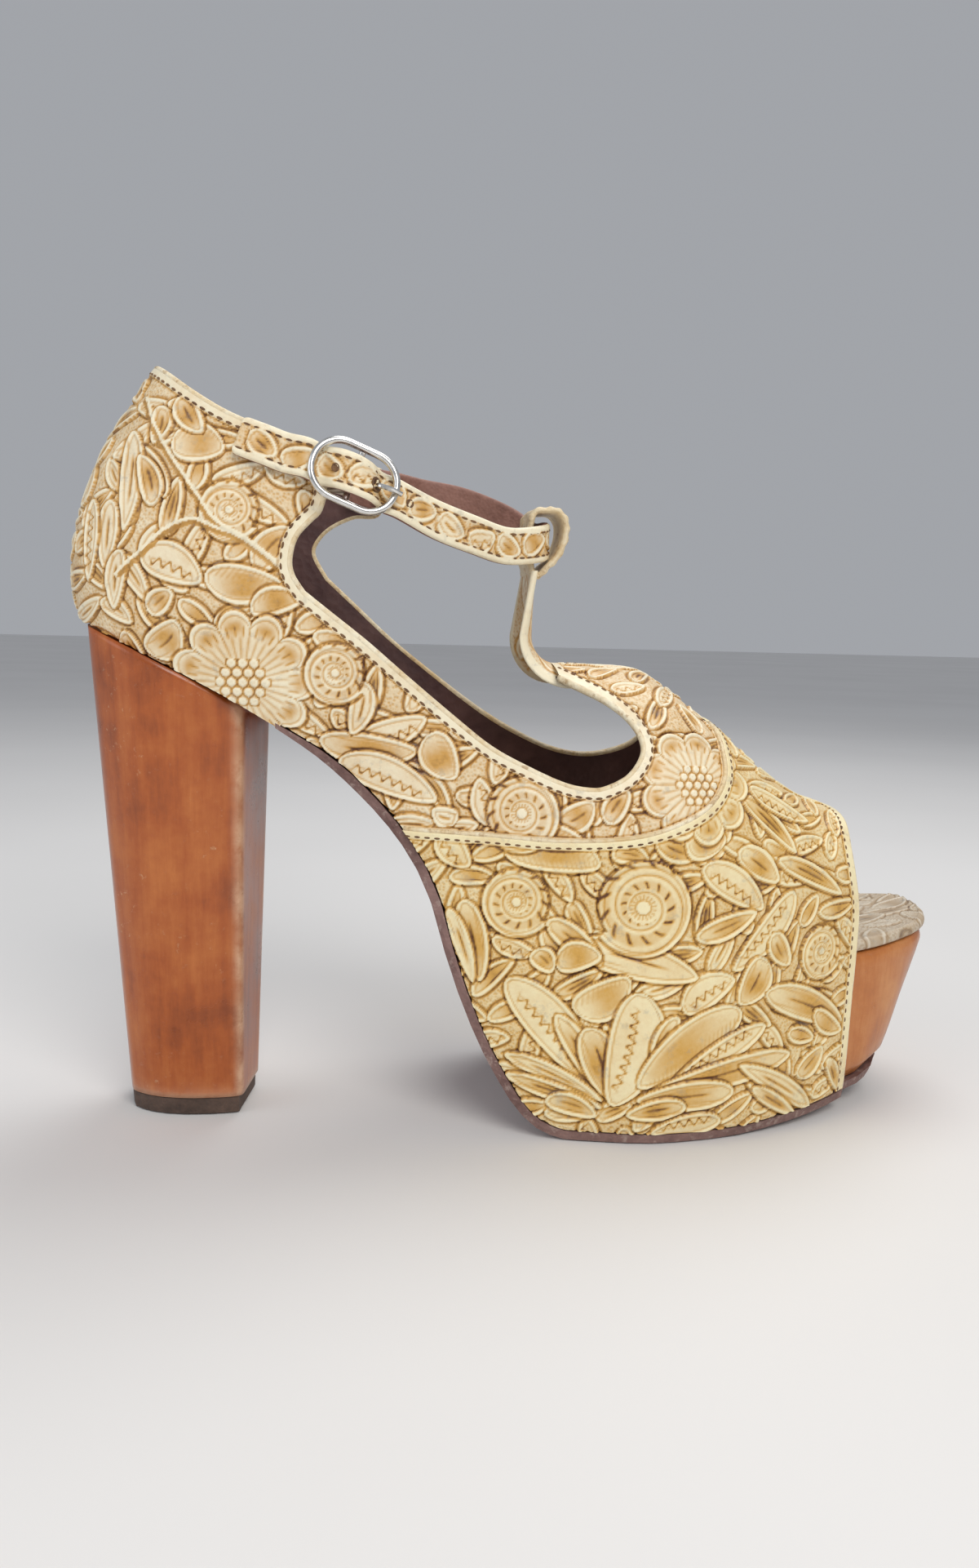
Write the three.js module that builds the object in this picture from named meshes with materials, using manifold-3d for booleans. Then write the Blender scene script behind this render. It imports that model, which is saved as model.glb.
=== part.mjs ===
// Platform t-strap heel, right shoe. Millimetres, +X to the toe, +Y to the medial side, +Z up.
// The shell, the sole and the footbed are all cut from one last, which is worked out from the sizes below.
import * as THREE from "three";
import { mergeVertices } from "three/addons/utils/BufferGeometryUtils.js";
import Module from "manifold-3d";

const wasm = await Module();
wasm.setup();

// Driving dimensions of the last
const lastLength = 243.4;
const ballWidth = 86;
const footbedBackHeight = 138;
const footbedBallHeight = 46;
const instepRise = 70;
const backRise = 56;

// Walls and clearances
const upperWall = 1.8;
const clearance = 0.3;
const insoleThickness = 3.6;
const outsoleThickness = 2.4;
const outsoleSkivedEnd = 0.9;
const outsoleEdgeProud = 0.5;

// Heel block and lift
const heelTopLength = 43.4;
const heelTopWidth = 47;
const heelBottomLength = 31;
const heelBottomWidth = 23.6;
const heelBackInset = 3.7;
const heelRake = 10.3;
const heelTwist = -0.12;
const heelBreastSkew = 0.19;
const liftHeight = 4.3;
const liftUndercut = 1.2;

// Straps
const tStrapFootShare = 0.518;
const tStrapWidth = 16;
const tStrapBend = 7.4;
const tStrapRise = 16.5;
const tStrapArch = 3.2;
const tStrapSpread = 0.5;
const tStrapInset = 0.15;
const loopWidth = 15;
const loopHeight = 18.4;
const loopDepth = 11.2;
const loopWall = 1.6;
const ankleStrapWidth = 9.4;
const ankleStrapMedialWidth = 11.4;
const ankleStrapThickness = 2.2;
const strapSlack = 0.15;
const strapRootSlack = 1.5;
// The straps lean with the quarters up to one share of the last, and are upright from the other
const leanEnd = 0.325;
const leanGone = 0.4;

// Buckle
const buckleShare = 0.287;
const buckleUp = 0.887;
const buckleAimShare = 0.327;
const buckleAimUp = 0.956;
const buckleLength = 22.6;
const buckleHeight = 15.8;
const buckleCorner = 7;
const buckleWire = 1.8;
const barWire = 1.6;
const barSink = 1;
const prongWire = 1.3;
const prongHole = 3.4;
const prongExit = 5.6;
const elasticWidth = 8.5;
const elasticThickness = 1.1;
// Lateral edge of the sole where it rises, which the sole's slant turns about
const lateralEdge = -0.36 * ballWidth;

// Fineness of the faceted forms
const ringUpper = 9;
const ringLower = 4;
const wireSides = 8;
const slantStrips = 4;
const soleSteps = 56;
const footbedSteps = 41;
// Reach of the plates that cut, past any piece
const far = 2 * lastLength;
const plateReach = 0.57 * ballWidth;

// Stations along the last. at: share of the length. rise: footbed above the ball, as a share of the whole rise.
// out, in: lateral and medial reach at the widest level, shares of the ball width. wide: widest level over the
// footbed, share of the instep rise. instep, back: crest over the footbed, shares of those rises.
// round: fullness of the crest. low, waist, square: foot of the section, its width share and its fullness.
const stations = [
  { at: 0.0, rise: 1.0, out: -0.025, in: 0.045, wide: 0.03, instep: 0, back: 0.065, round: 2, low: 0.992, waist: 1, square: 2 },
  { at: 0.0015, rise: 0.999, out: 0.025, in: 0.095, wide: 0.03, instep: 0, back: 0.17, round: 2, low: 0.968, waist: 1, square: 2 },
  { at: 0.006, rise: 0.992, out: 0.072, in: 0.141, wide: 0.04, instep: 0, back: 0.27, round: 2, low: 0.945, waist: 1, square: 2 },
  { at: 0.013, rise: 0.983, out: 0.117, in: 0.18, wide: 0.055, instep: 0, back: 0.39, round: 2, low: 0.915, waist: 1, square: 2.1 },
  { at: 0.022, rise: 0.972, out: 0.152, in: 0.21, wide: 0.07, instep: 0, back: 0.51, round: 2, low: 0.885, waist: 0.99, square: 2.2 },
  { at: 0.036, rise: 0.956, out: 0.19, in: 0.237, wide: 0.095, instep: 0, back: 0.675, round: 2, low: 0.85, waist: 0.98, square: 2.3 },
  { at: 0.052, rise: 0.938, out: 0.221, in: 0.259, wide: 0.12, instep: 0, back: 0.82, round: 2, low: 0.82, waist: 0.97, square: 2.4 },
  { at: 0.068, rise: 0.921, out: 0.246, in: 0.273, wide: 0.14, instep: 0, back: 0.955, round: 2.02, low: 0.8, waist: 0.96, square: 2.5 },
  { at: 0.087, rise: 0.9, out: 0.27, in: 0.284, wide: 0.165, instep: 0, back: 1.11, round: 2.05, low: 0.79, waist: 0.94, square: 2.6 },
  { at: 0.125, rise: 0.858, out: 0.302, in: 0.295, wide: 0.21, instep: 0, back: 1.36, round: 2.15, low: 0.78, waist: 0.92, square: 2.8 },
  { at: 0.185, rise: 0.783, out: 0.328, in: 0.292, wide: 0.27, instep: 0, back: 1.68, round: 2.3, low: 0.77, waist: 0.87, square: 3 },
  { at: 0.25, rise: 0.68, out: 0.342, in: 0.292, wide: 0.31, instep: 0, back: 1.8, round: 2.45, low: 0.74, waist: 0.85, square: 3 },
  { at: 0.31, rise: 0.548, out: 0.355, in: 0.3, wide: 0.31, instep: 0.25, back: 1.4, round: 2.5, low: 0.66, waist: 0.88, square: 3.2 },
  { at: 0.37, rise: 0.405, out: 0.375, in: 0.315, wide: 0.26, instep: 0.62, back: 0.65, round: 2.4, low: 0.45, waist: 0.93, square: 4 },
  { at: 0.43, rise: 0.265, out: 0.405, in: 0.343, wide: 0.22, instep: 0.84, back: 0.12, round: 2.25, low: 0.05, waist: 0.96, square: 6 },
  { at: 0.49, rise: 0.152, out: 0.448, in: 0.385, wide: 0.22, instep: 0.87, back: 0, round: 2.1, low: -0.13, waist: 0.98, square: 8 },
  { at: 0.55, rise: 0.073, out: 0.49, in: 0.425, wide: 0.22, instep: 0.955, back: 0, round: 2.1, low: -0.15, waist: 0.99, square: 8 },
  { at: 0.604, rise: 0.033, out: 0.517, in: 0.457, wide: 0.2, instep: 0.995, back: 0, round: 2.15, low: -0.16, waist: 0.99, square: 8 },
  { at: 0.63, rise: 0.02, out: 0.515, in: 0.47, wide: 0.19, instep: 0.966, back: 0, round: 2.2, low: -0.16, waist: 0.99, square: 8 },
  { at: 0.7, rise: 0.001, out: 0.485, in: 0.488, wide: 0.15, instep: 0.808, back: 0, round: 2.3, low: -0.16, waist: 0.985, square: 8 },
  { at: 0.766, rise: 0.001, out: 0.425, in: 0.476, wide: 0.11, instep: 0.63, back: 0, round: 2.5, low: -0.16, waist: 0.975, square: 8 },
  { at: 0.815, rise: 0.008, out: 0.366, in: 0.45, wide: 0.08, instep: 0.525, back: 0, round: 2.7, low: -0.16, waist: 0.965, square: 7 },
  { at: 0.85, rise: 0.016, out: 0.316, in: 0.422, wide: 0.06, instep: 0.478, back: 0, round: 2.8, low: -0.16, waist: 0.95, square: 6 },
  { at: 0.877, rise: 0.023, out: 0.296, in: 0.394, wide: 0.045, instep: 0.44, back: 0, round: 2.7, low: -0.13, waist: 0.93, square: 5 },
  { at: 0.9, rise: 0.03, out: 0.272, in: 0.365, wide: 0.03, instep: 0.37, back: 0, round: 2.5, low: -0.06, waist: 0.91, square: 3.6 },
  { at: 0.922, rise: 0.036, out: 0.24, in: 0.336, wide: 0.02, instep: 0.3, back: 0, round: 2.3, low: 0.06, waist: 0.94, square: 2.7 },
  { at: 0.945, rise: 0.043, out: 0.2, in: 0.306, wide: 0.01, instep: 0.33, back: 0, round: 2.2, low: 0.355, waist: 0.97, square: 2.2 },
  { at: 0.966, rise: 0.049, out: 0.146, in: 0.277, wide: 0, instep: 0.28, back: 0, round: 2.1, low: 0.62, waist: 1, square: 2 },
  { at: 0.983, rise: 0.055, out: 0.07, in: 0.24, wide: -0.01, instep: 0.22, back: 0, round: 2, low: 0.83, waist: 1, square: 2 },
  { at: 0.994, rise: 0.058, out: -0.02, in: 0.19, wide: -0.015, instep: 0.15, back: 0, round: 2, low: 0.92, waist: 1, square: 2 },
  { at: 1.0, rise: 0.06, out: -0.1, in: 0.12, wide: -0.02, instep: 0.06, back: 0, round: 2, low: 0.955, waist: 1, square: 2 },
];

// Underside of the shoe. under: height as a share of the footbed over it. leather: share of the outsole.
const underside = [
  { at: 0.0, under: 0.937, leather: 0 },
  { at: 0.04, under: 0.935, leather: 0 },
  { at: 0.1, under: 0.925, leather: 0 },
  { at: 0.183, under: 0.907, leather: 0 },
  { at: 0.225, under: 0.897, leather: 0.3 },
  { at: 0.26, under: 0.889, leather: 0.8 },
  { at: 0.293, under: 0.875, leather: 1 },
  { at: 0.329, under: 0.845, leather: 1 },
  { at: 0.356, under: 0.79, leather: 1 },
  { at: 0.372, under: 0.715, leather: 1 },
  { at: 0.385, under: 0.6, leather: 1 },
  { at: 0.404, under: 0.462, leather: 1 },
  { at: 0.424, under: 0.335, leather: 1 },
  { at: 0.448, under: 0.204, leather: 1 },
  { at: 0.468, under: 0.105, leather: 1 },
  { at: 0.49, under: 0.038, leather: 1 },
  { at: 0.52, under: 0, leather: 1 },
  { at: 0.68, under: 0, leather: 1 },
  { at: 0.75, under: 0.022, leather: 1 },
  { at: 0.81, under: 0.052, leather: 1 },
  { at: 0.87, under: 0.1, leather: 1 },
  { at: 0.93, under: 0.155, leather: 1 },
  { at: 1.0, under: 0.22, leather: 1 },
];

// Edges of the two side openings and the collar, seen from the side. at: share of the length.
// up: height over the footbed there, as a share of the instep rise.
const collarLateral = [
  { at: 0.074, up: 0.901 },
  { at: 0.0863, up: 0.886 },
  { at: 0.1007, up: 0.865 },
  { at: 0.1241, up: 0.835 },
  { at: 0.152, up: 0.815 },
  { at: 0.178, up: 0.815 },
  { at: 0.215, up: 0.837 },
  { at: 0.24, up: 0.853 },
  { at: 0.258, up: 0.866 },
];
const collarMedial = [
  { at: 0.074, up: 0.901 },
  { at: 0.0863, up: 0.886 },
  { at: 0.1007, up: 0.874 },
  { at: 0.127, up: 0.865 },
  { at: 0.177, up: 0.885 },
  { at: 0.234, up: 0.941 },
  { at: 0.288, up: 1.03 },
  { at: 0.325, up: 1.11 },
];
const quarterFrontLateral = [
  { at: 0.258, up: 0.866 },
  { at: 0.2595, up: 0.842 },
  { at: 0.2585, up: 0.795 },
  { at: 0.2572, up: 0.735 },
  { at: 0.2527, up: 0.675 },
  { at: 0.2453, up: 0.631 },
  { at: 0.2305, up: 0.538 },
  { at: 0.2247, up: 0.449 },
  { at: 0.2272, up: 0.397 },
  { at: 0.2383, up: 0.362 },
];
const quarterFrontMedial = [
  { at: 0.325, up: 1.11 },
  { at: 0.326, up: 0.957 },
  { at: 0.296, up: 0.845 },
  { at: 0.269, up: 0.718 },
  { at: 0.253, up: 0.614 },
  { at: 0.2506, up: 0.551 },
  { at: 0.265, up: 0.5 },
];
const openingEdgeLateral = [
  { at: 0.2383, up: 0.362 },
  { at: 0.2625, up: 0.357 },
  { at: 0.3, up: 0.368 },
  { at: 0.338, up: 0.374 },
  { at: 0.388, up: 0.39 },
  { at: 0.4265, up: 0.406 },
  { at: 0.4634, up: 0.438 },
  { at: 0.5, up: 0.465 },
  { at: 0.525, up: 0.496 },
  { at: 0.542, up: 0.529 },
  { at: 0.566, up: 0.601 },
  { at: 0.582, up: 0.688 },
  { at: 0.5834, up: 0.751 },
  { at: 0.573, up: 0.808 },
  { at: 0.5534, up: 0.845 },
  { at: 0.532, up: 0.854 },
  { at: 0.509, up: 0.853 },
];
const openingEdgeMedial = [
  { at: 0.265, up: 0.5 },
  { at: 0.295, up: 0.494 },
  { at: 0.349, up: 0.495 },
  { at: 0.425, up: 0.536 },
  { at: 0.468, up: 0.552 },
  { at: 0.512, up: 0.563 },
  { at: 0.546, up: 0.571 },
  { at: 0.58, up: 0.586 },
  { at: 0.612, up: 0.62 },
  { at: 0.644, up: 0.681 },
  { at: 0.6606, up: 0.767 },
  { at: 0.6594, up: 0.845 },
  { at: 0.641, up: 0.898 },
  { at: 0.604, up: 0.919 },
  { at: 0.559, up: 0.906 },
  { at: 0.509, up: 0.853 },
];
// Front edge of the upper over the bare wooden toe, from the floor to the crest.
const toeEdge = [
  { at: 0.8422, up: -0.85 },
  { at: 0.8422, up: -0.32 },
  { at: 0.8439, up: 0.081 },
  { at: 0.8385, up: 0.269 },
  { at: 0.8375, up: 0.35 },
  { at: 0.841, up: 0.41 },
  { at: 0.8505, up: 0.475 },
  { at: 0.856, up: 0.56 },
  { at: 0.856, up: 0.89 },
];
// Corners of the strap's route: along the last, across it as a share of the ball width, over the footbed.
const strapRoute = [
  { at: 0.37, across: -0.287, up: 1.02 },
  { at: 0.409, across: -0.252, up: 1.1 },
  { at: 0.4486, across: -0.193, up: 1.18 },
  { at: 0.4908, across: -0.1175, up: 1.299 },
  { at: 0.4995, across: -0.031, up: 1.336 },
  { at: 0.4908, across: 0.056, up: 1.323 },
  { at: 0.462, across: 0.145, up: 1.325 },
  { at: 0.413, across: 0.205, up: 1.254 },
  { at: 0.37, across: 0.222, up: 1.145 },
];
// Free end of the strap over the lateral quarter, behind the buckle
const strapTipRoute = [
  { at: 0.176, up: 0.756 },
  { at: 0.201, up: 0.773 },
  { at: 0.221, up: 0.789 },
];
// End of the strap behind the medial quarter
const strapRootRoute = [
  { at: 0.337, up: 1.055 },
  { at: 0.315, up: 1.003 },
  { at: 0.29, up: 0.945 },
];
// Elastic behind the lateral quarter
const elasticRoute = [
  { at: 0.222, up: 0.754 },
  { at: 0.25, up: 0.806 },
];
// Slant of the sole. slant: how far the underside runs ahead for each step to the medial side.
const soleSlant = [
  { at: 0.26, slant: 0 },
  { at: 0.39, slant: 0.17 },
  { at: 0.53, slant: 0.17 },
  { at: 0.68, slant: 0 },
];
// Half outline of the heel, from back to breast. along: share of its length. wide: share of half its width.
const heelOutline = [
  { along: 0, wide: 0.3 },
  { along: 0.03, wide: 0.56 },
  { along: 0.1, wide: 0.72 },
  { along: 0.2, wide: 0.86 },
  { along: 0.34, wide: 0.96 },
  { along: 0.52, wide: 1 },
  { along: 0.75, wide: 0.955 },
  { along: 0.94, wide: 0.86 },
  { along: 1, wide: 0.8 },
];
// Contour of the folded loop, round its middle: shares of half its depth and half its height.
const loopContour = [
  { ahead: -0.45, above: -1 },
  { ahead: 0, above: -0.74 },
  { ahead: 0.5, above: -0.45 },
  { ahead: 0.88, above: 0 },
  { ahead: 1, above: 0.4 },
  { ahead: 0.9, above: 0.75 },
  { ahead: 0.48, above: 0.98 },
  { ahead: -0.06, above: 1 },
  { ahead: -0.75, above: 0.92 },
  { ahead: -0.98, above: 0.55 },
  { ahead: -1, above: 0 },
  { ahead: -0.94, above: -0.54 },
  { ahead: -0.8, above: -0.93 },
];

// Value of a column at a place along a table, on a curve that never overshoots its rows
function along(table, column, place, key = "at") {
  const last = table.length - 1;
  if (place <= table[0][key]) return table[0][column];
  if (place >= table[last][key]) return table[last][column];
  let row = 0;
  while (place > table[row + 1][key]) row++;
  const step = (i) => table[i + 1][key] - table[i][key];
  const slope = (i) => (table[i + 1][column] - table[i][column]) / step(i);
  const tangent = (i) => {
    if (i === 0) return slope(0);
    if (i === last) return slope(last - 1);
    const before = slope(i - 1);
    const after = slope(i);
    if (before * after <= 0) return 0;
    const a = 2 * step(i) + step(i - 1);
    const b = step(i) + 2 * step(i - 1);
    return (a + b) / (a / before + b / after);
  };
  const h = step(row);
  const t = (place - table[row][key]) / h;
  const start = table[row][column];
  const end = table[row + 1][column];
  const bend = t * (1 - t);
  return (
    start + (end - start) * t * t * (3 - 2 * t) +
    bend * ((1 - t) * tangent(row) - t * tangent(row + 1)) * h
  );
}

// The last
const seatX = (share) => share * lastLength;
function footbed(share) {
  return footbedBallHeight + (footbedBackHeight - footbedBallHeight) * along(stations, "rise", share);
}
function overFootbed(share, up) {
  return footbed(share) + up * instepRise;
}
function crest(share) {
  const instep = along(stations, "instep", share) * instepRise;
  return footbed(share) + instep + along(stations, "back", share) * backRise;
}
function widest(share) {
  return footbed(share) + along(stations, "wide", share) * instepRise;
}
function centreLine(share) {
  return (along(stations, "in", share) - along(stations, "out", share)) * ballWidth * 0.5;
}
function halfWidth(share) {
  return (along(stations, "in", share) + along(stations, "out", share)) * ballWidth * 0.5;
}
// A point of the last's surface. turn runs from 0 at the crest over the medial side, the foot and the lateral side.
function lastPoint(share, turn) {
  const angle = turn * Math.PI * 2;
  const upper = Math.cos(angle) >= 0;
  const power = 2 / along(stations, upper ? "round" : "square", share);
  const sine = Math.sign(Math.sin(angle)) * Math.abs(Math.sin(angle)) ** power;
  const cosine = Math.abs(Math.cos(angle)) ** power;
  const middle = widest(share);
  const foot = footbed(share) * along(stations, "low", share);
  const height = upper ? crest(share) - middle : foot - middle;
  const narrowing = upper ? 1 : 1 + (along(stations, "waist", share) - 1) * cosine;
  return new THREE.Vector3(
    seatX(share),
    centreLine(share) + halfWidth(share) * narrowing * sine,
    middle + height * cosine,
  );
}
// Reach of the last to one side at a height above its widest level
function sideReach(share, height, side) {
  const full = (height - widest(share)) / (crest(share) - widest(share));
  const power = along(stations, "round", share);
  const cut = Math.max(1 - Math.max(full, 0) ** power, 0) ** (1 / power);
  return centreLine(share) + side * halfWidth(share) * cut;
}

// Solids
function toSolid(geometry) {
  const bare = geometry.index ? geometry.toNonIndexed() : geometry.clone();
  bare.deleteAttribute("normal");
  bare.deleteAttribute("uv");
  const merged = mergeVertices(bare, 1e-4);
  return new wasm.Manifold(
    new wasm.Mesh({
      numProp: 3,
      vertProperties: new Float32Array(merged.attributes.position.array),
      triVerts: new Uint32Array(merged.index.array),
    }),
  );
}
function toGeometry(solid) {
  const mesh = solid.getMesh();
  const geometry = new THREE.BufferGeometry();
  geometry.setAttribute("position", new THREE.BufferAttribute(mesh.vertProperties, 3));
  geometry.setIndex(new THREE.BufferAttribute(mesh.triVerts, 1));
  geometry.computeVertexNormals();
  return geometry;
}
// A closed solid through rings of points, with a flat fan on each end, or joined end to end
function loft(rings, joined = false) {
  const size = rings[0].length;
  const points = rings.flat();
  const faces = [];
  const spans = joined ? rings.length : rings.length - 1;
  for (let i = 0; i < spans; i++) {
    const here = i * size;
    const next = ((i + 1) % rings.length) * size;
    for (let j = 0; j < size; j++) {
      const k = (j + 1) % size;
      faces.push(here + j, here + k, next + k, here + j, next + k, next + j);
    }
  }
  if (!joined) {
    const middle = (ring) => ring.reduce((sum, p) => sum.add(p), new THREE.Vector3()).divideScalar(size);
    const first = points.push(middle(rings[0])) - 1;
    const final = points.push(middle(rings[rings.length - 1])) - 1;
    const start = (rings.length - 1) * size;
    for (let j = 0; j < size; j++) {
      const k = (j + 1) % size;
      faces.push(first, k, j, final, start + j, start + k);
    }
  }
  const geometry = new THREE.BufferGeometry().setFromPoints(points);
  geometry.setIndex(faces);
  const solid = toSolid(geometry);
  if (solid.volume() > 0) return solid;
  geometry.setIndex(faces.reverse());
  return toSolid(geometry);
}
// Stations close enough for a smooth silhouette: the table's own, with one between wide ones
function stationShares() {
  const shares = [];
  stations.forEach((row, i) => {
    if (i > 0 && row.at - stations[i - 1].at > 0.03) shares.push((row.at + stations[i - 1].at) / 2);
    shares.push(row.at);
  });
  return shares;
}
function ringTurns() {
  const turns = [];
  for (let i = -ringUpper; i < ringUpper; i++) turns.push((i / ringUpper) * 0.25);
  for (let i = 0; i < 2 * ringLower; i++) turns.push(0.25 + (i / (2 * ringLower)) * 0.5);
  return turns;
}
// The last, set in from its skin by a depth, or out from it where the depth is negative
function lastSolid(depth) {
  const shares = stationShares();
  const turns = ringTurns();
  const nudge = 1e-3;
  const rings = shares.map((share) =>
    turns.map((turn) => {
      const point = lastPoint(share, turn);
      const ahead = lastPoint(Math.min(share + nudge, 1), turn).sub(lastPoint(Math.max(share - nudge, 0), turn));
      const round = lastPoint(share, turn + nudge).sub(lastPoint(share, turn - nudge));
      const normal = ahead.cross(round).normalize();
      return point.addScaledVector(normal, -depth);
    }),
  );
  return loft(rings);
}
// A plate of one side-view outline, between two places across the shoe. Slanted, its medial side runs ahead.
function sidePlate(outline, from, to, slanted = false) {
  const flat = outline.map(([x, z]) => new THREE.Vector2(x, z));
  const contour = THREE.ShapeUtils.isClockWise(flat) ? flat.toReversed() : flat;
  const size = contour.length;
  const strips = slanted ? slantStrips : 1;
  const sections = shareSteps(from, to, strips).map((aside) =>
    contour.map((point) => {
      const slant = slanted ? along(soleSlant, "slant", point.x / lastLength) : 0;
      return new THREE.Vector3(point.x + slant * (aside - lateralEdge), aside, point.y);
    }),
  );
  const faces = [];
  for (let strip = 0; strip < strips; strip++) {
    for (let i = 0; i < size; i++) {
      const a = strip * size + i;
      const b = strip * size + ((i + 1) % size);
      faces.push(a, b, b + size, a, b + size, a + size);
    }
  }
  const cap = (section) => {
    const shape = section.map((p) => new THREE.Vector2(p.x, p.z));
    return THREE.ShapeUtils.triangulateShape(shape, []);
  };
  const last = strips * size;
  for (const [a, b, c] of cap(sections[0])) faces.push(c, b, a);
  for (const [a, b, c] of cap(sections[strips])) faces.push(last + a, last + b, last + c);
  const plate = new THREE.BufferGeometry().setFromPoints(sections.flat());
  plate.setIndex(faces.reverse());
  return toSolid(plate);
}
// Everything over or under a line that runs from the back to the toe
function over(line, slanted = false) {
  return sidePlate([...line, [far, far], [line[0][0], far]], -plateReach, plateReach, slanted);
}
function under(line, slanted = false) {
  return sidePlate([...line, [far, -far], [line[0][0], -far]], -plateReach, plateReach, slanted);
}
// A smooth line through rows of a side-view table
function edgeLine(rows, steps) {
  const points = rows.map((row) => new THREE.Vector2(seatX(row.at), overFootbed(row.at, row.up)));
  return new THREE.SplineCurve(points).getPoints(steps).map((p) => [p.x, p.y]);
}
// Lines of the sole, seen from the side
function shareSteps(from, to, steps) {
  return Array.from({ length: steps + 1 }, (_, i) => from + ((to - from) * i) / steps);
}
function undersidePoint(share) {
  return new THREE.Vector2(seatX(share), footbed(share) * along(underside, "under", share));
}
function outsoleDepth(share) {
  return outsoleSkivedEnd + (outsoleThickness - outsoleSkivedEnd) * along(underside, "leather", share);
}
// The underside, lifted square to itself by a depth that may vary along it
function soleLine(depth, from = -0.02, to = 1.03) {
  const nudge = 2e-3;
  return shareSteps(from, to, soleSteps).map((share) => {
    const ahead = undersidePoint(share + nudge).sub(undersidePoint(share - nudge)).normalize();
    const point = undersidePoint(share);
    const lift = depth(share);
    return [point.x - ahead.y * lift, point.y + ahead.x * lift];
  });
}
function footbedLine(drop) {
  return shareSteps(-0.02, 1.03, footbedSteps).map((share) => [seatX(share), footbed(share) - drop]);
}
// Where the outsole starts, just ahead of the heel's breast
function breastShare() {
  const ring = heelRing(heelTopLength, heelTopWidth, heelBackInset, footbedBackHeight);
  return (Math.max(...ring.map((p) => p.x)) + clearance) / lastLength;
}
// Foot of the upper and the platform: on the heel behind the breast, on the outsole ahead of it
function footLine() {
  const breast = breastShare();
  return [
    ...soleLine(() => clearance, -0.02, breast - clearance / lastLength),
    ...soleLine((share) => outsoleDepth(share) + clearance, breast - clearance / lastLength),
  ];
}

// Upper
function upperShell() {
  let shell = lastSolid(0).subtract(lastSolid(upperWall));
  shell = shell.subtract(under(footLine(), true));
  const toe = edgeLine(toeEdge, 24);
  shell = shell.subtract(sidePlate([...toe, [toe.at(-1)[0], far], [far, far], [far, -far], [toe[0][0], -far]], -far, far));
  const split = centreLine(0.53);
  const sides = [
    [collarLateral, quarterFrontLateral, openingEdgeLateral, -far, split],
    [collarMedial, quarterFrontMedial, openingEdgeMedial, split, far],
  ];
  for (const [collar, front, edge, from, to] of sides) {
    const outline = [...edgeLine(collar, 14), ...edgeLine(front, 22).slice(1), ...edgeLine(edge, 40).slice(1)];
    const behind = outline[0];
    const ahead = outline.at(-1);
    const top = far;
    shell = shell.subtract(
      sidePlate([[-far, behind[1] + (behind[0] + far) * 0.1], ...outline, [ahead[0], top], [-far, top]], from, to),
    );
  }
  return shell;
}
// Middle line of the t-strap's outer face, from the vamp up to the loop. out: its outward direction.
// broad: width as a share of the strap's own. flat: share of its arch that is gone.
function tStrapPath() {
  const stops = [];
  for (const share of [0.592, 0.568, 0.545]) {
    const at = new THREE.Vector2(seatX(share), crest(share) - tStrapInset);
    stops.push({ at, out: new THREE.Vector2(0, 1), broad: 1 + tStrapSpread, flat: 0 });
  }
  const foot = new THREE.Vector2(seatX(tStrapFootShare), crest(0.545));
  const arcSteps = 7;
  for (let i = 0; i <= arcSteps; i++) {
    const turned = i / arcSteps;
    const angle = turned * (Math.PI / 2);
    const out = new THREE.Vector2(Math.sin(angle), Math.cos(angle));
    const at = new THREE.Vector2(foot.x - tStrapBend * Math.sin(angle), foot.y + tStrapBend * (1 - Math.cos(angle)));
    stops.push({ at, out, broad: 1 + tStrapSpread * (1 - turned) ** 1.4, flat: 0 });
  }
  const bend = stops.at(-1).at;
  for (const share of [0.35, 0.7, 1]) {
    const at = new THREE.Vector2(bend.x, bend.y + share * tStrapRise);
    stops.push({ at, out: new THREE.Vector2(1, 0), broad: 1, flat: share });
  }
  return stops;
}
function tStrap() {
  const across = 6;
  const middle = centreLine(0.5);
  const rings = tStrapPath().map(({ at, out, broad, flat }) => {
    const half = (tStrapWidth / 2) * broad;
    const side = (depth, backwards) =>
      Array.from({ length: across + 1 }, (_, i) => {
        const v = (backwards ? 1 - i / across : i / across) * 2 - 1;
        const dip = tStrapArch * broad * (1 - flat) * v * v + depth;
        return new THREE.Vector3(at.x - out.x * dip, middle + v * half, at.y - out.y * dip);
      });
    return [...side(0, false), ...side(upperWall, true)];
  });
  return loft(rings);
}
function strapLoop() {
  const top = tStrapPath().at(-1).at;
  const centre = new THREE.Vector2(top.x + loopDepth * 0.23, top.y + loopHeight * 0.41);
  const contour = (inset) =>
    new THREE.SplineCurve(
      [...loopContour, loopContour[0]].map(
        (row) =>
          new THREE.Vector2(
            centre.x + row.ahead * (loopDepth / 2 - inset),
            centre.y + row.above * (loopHeight / 2 - inset),
          ),
      ),
    )
      .getPoints(30)
      .slice(0, -1)
      .map((p) => [p.x, p.y]);
  const middle = centreLine(0.5);
  const folded = sidePlate(contour(0), middle - loopWidth / 2, middle + loopWidth / 2);
  return folded.subtract(sidePlate(contour(loopWall), middle - loopWidth, middle + loopWidth));
}

// Sole pieces
const insideSkin = upperWall + clearance;
function insole(inside) {
  return inside.intersect(over(footbedLine(insoleThickness))).intersect(under(footbedLine(0)));
}
function platform(inside) {
  return inside.intersect(over(footLine(), true)).intersect(under(footbedLine(insoleThickness + clearance)));
}
function outsole(inside) {
  const front = seatX(toeEdge[0].at);
  const rest = sidePlate([[-far, -far], [front, -far], [front, far], [-far, far]], -far, far);
  const outline = lastSolid(-outsoleEdgeProud).intersect(rest).add(inside);
  const start = breastShare();
  return outline.intersect(over(soleLine(() => 0, start), true)).intersect(under(soleLine(outsoleDepth, start), true));
}

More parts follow.
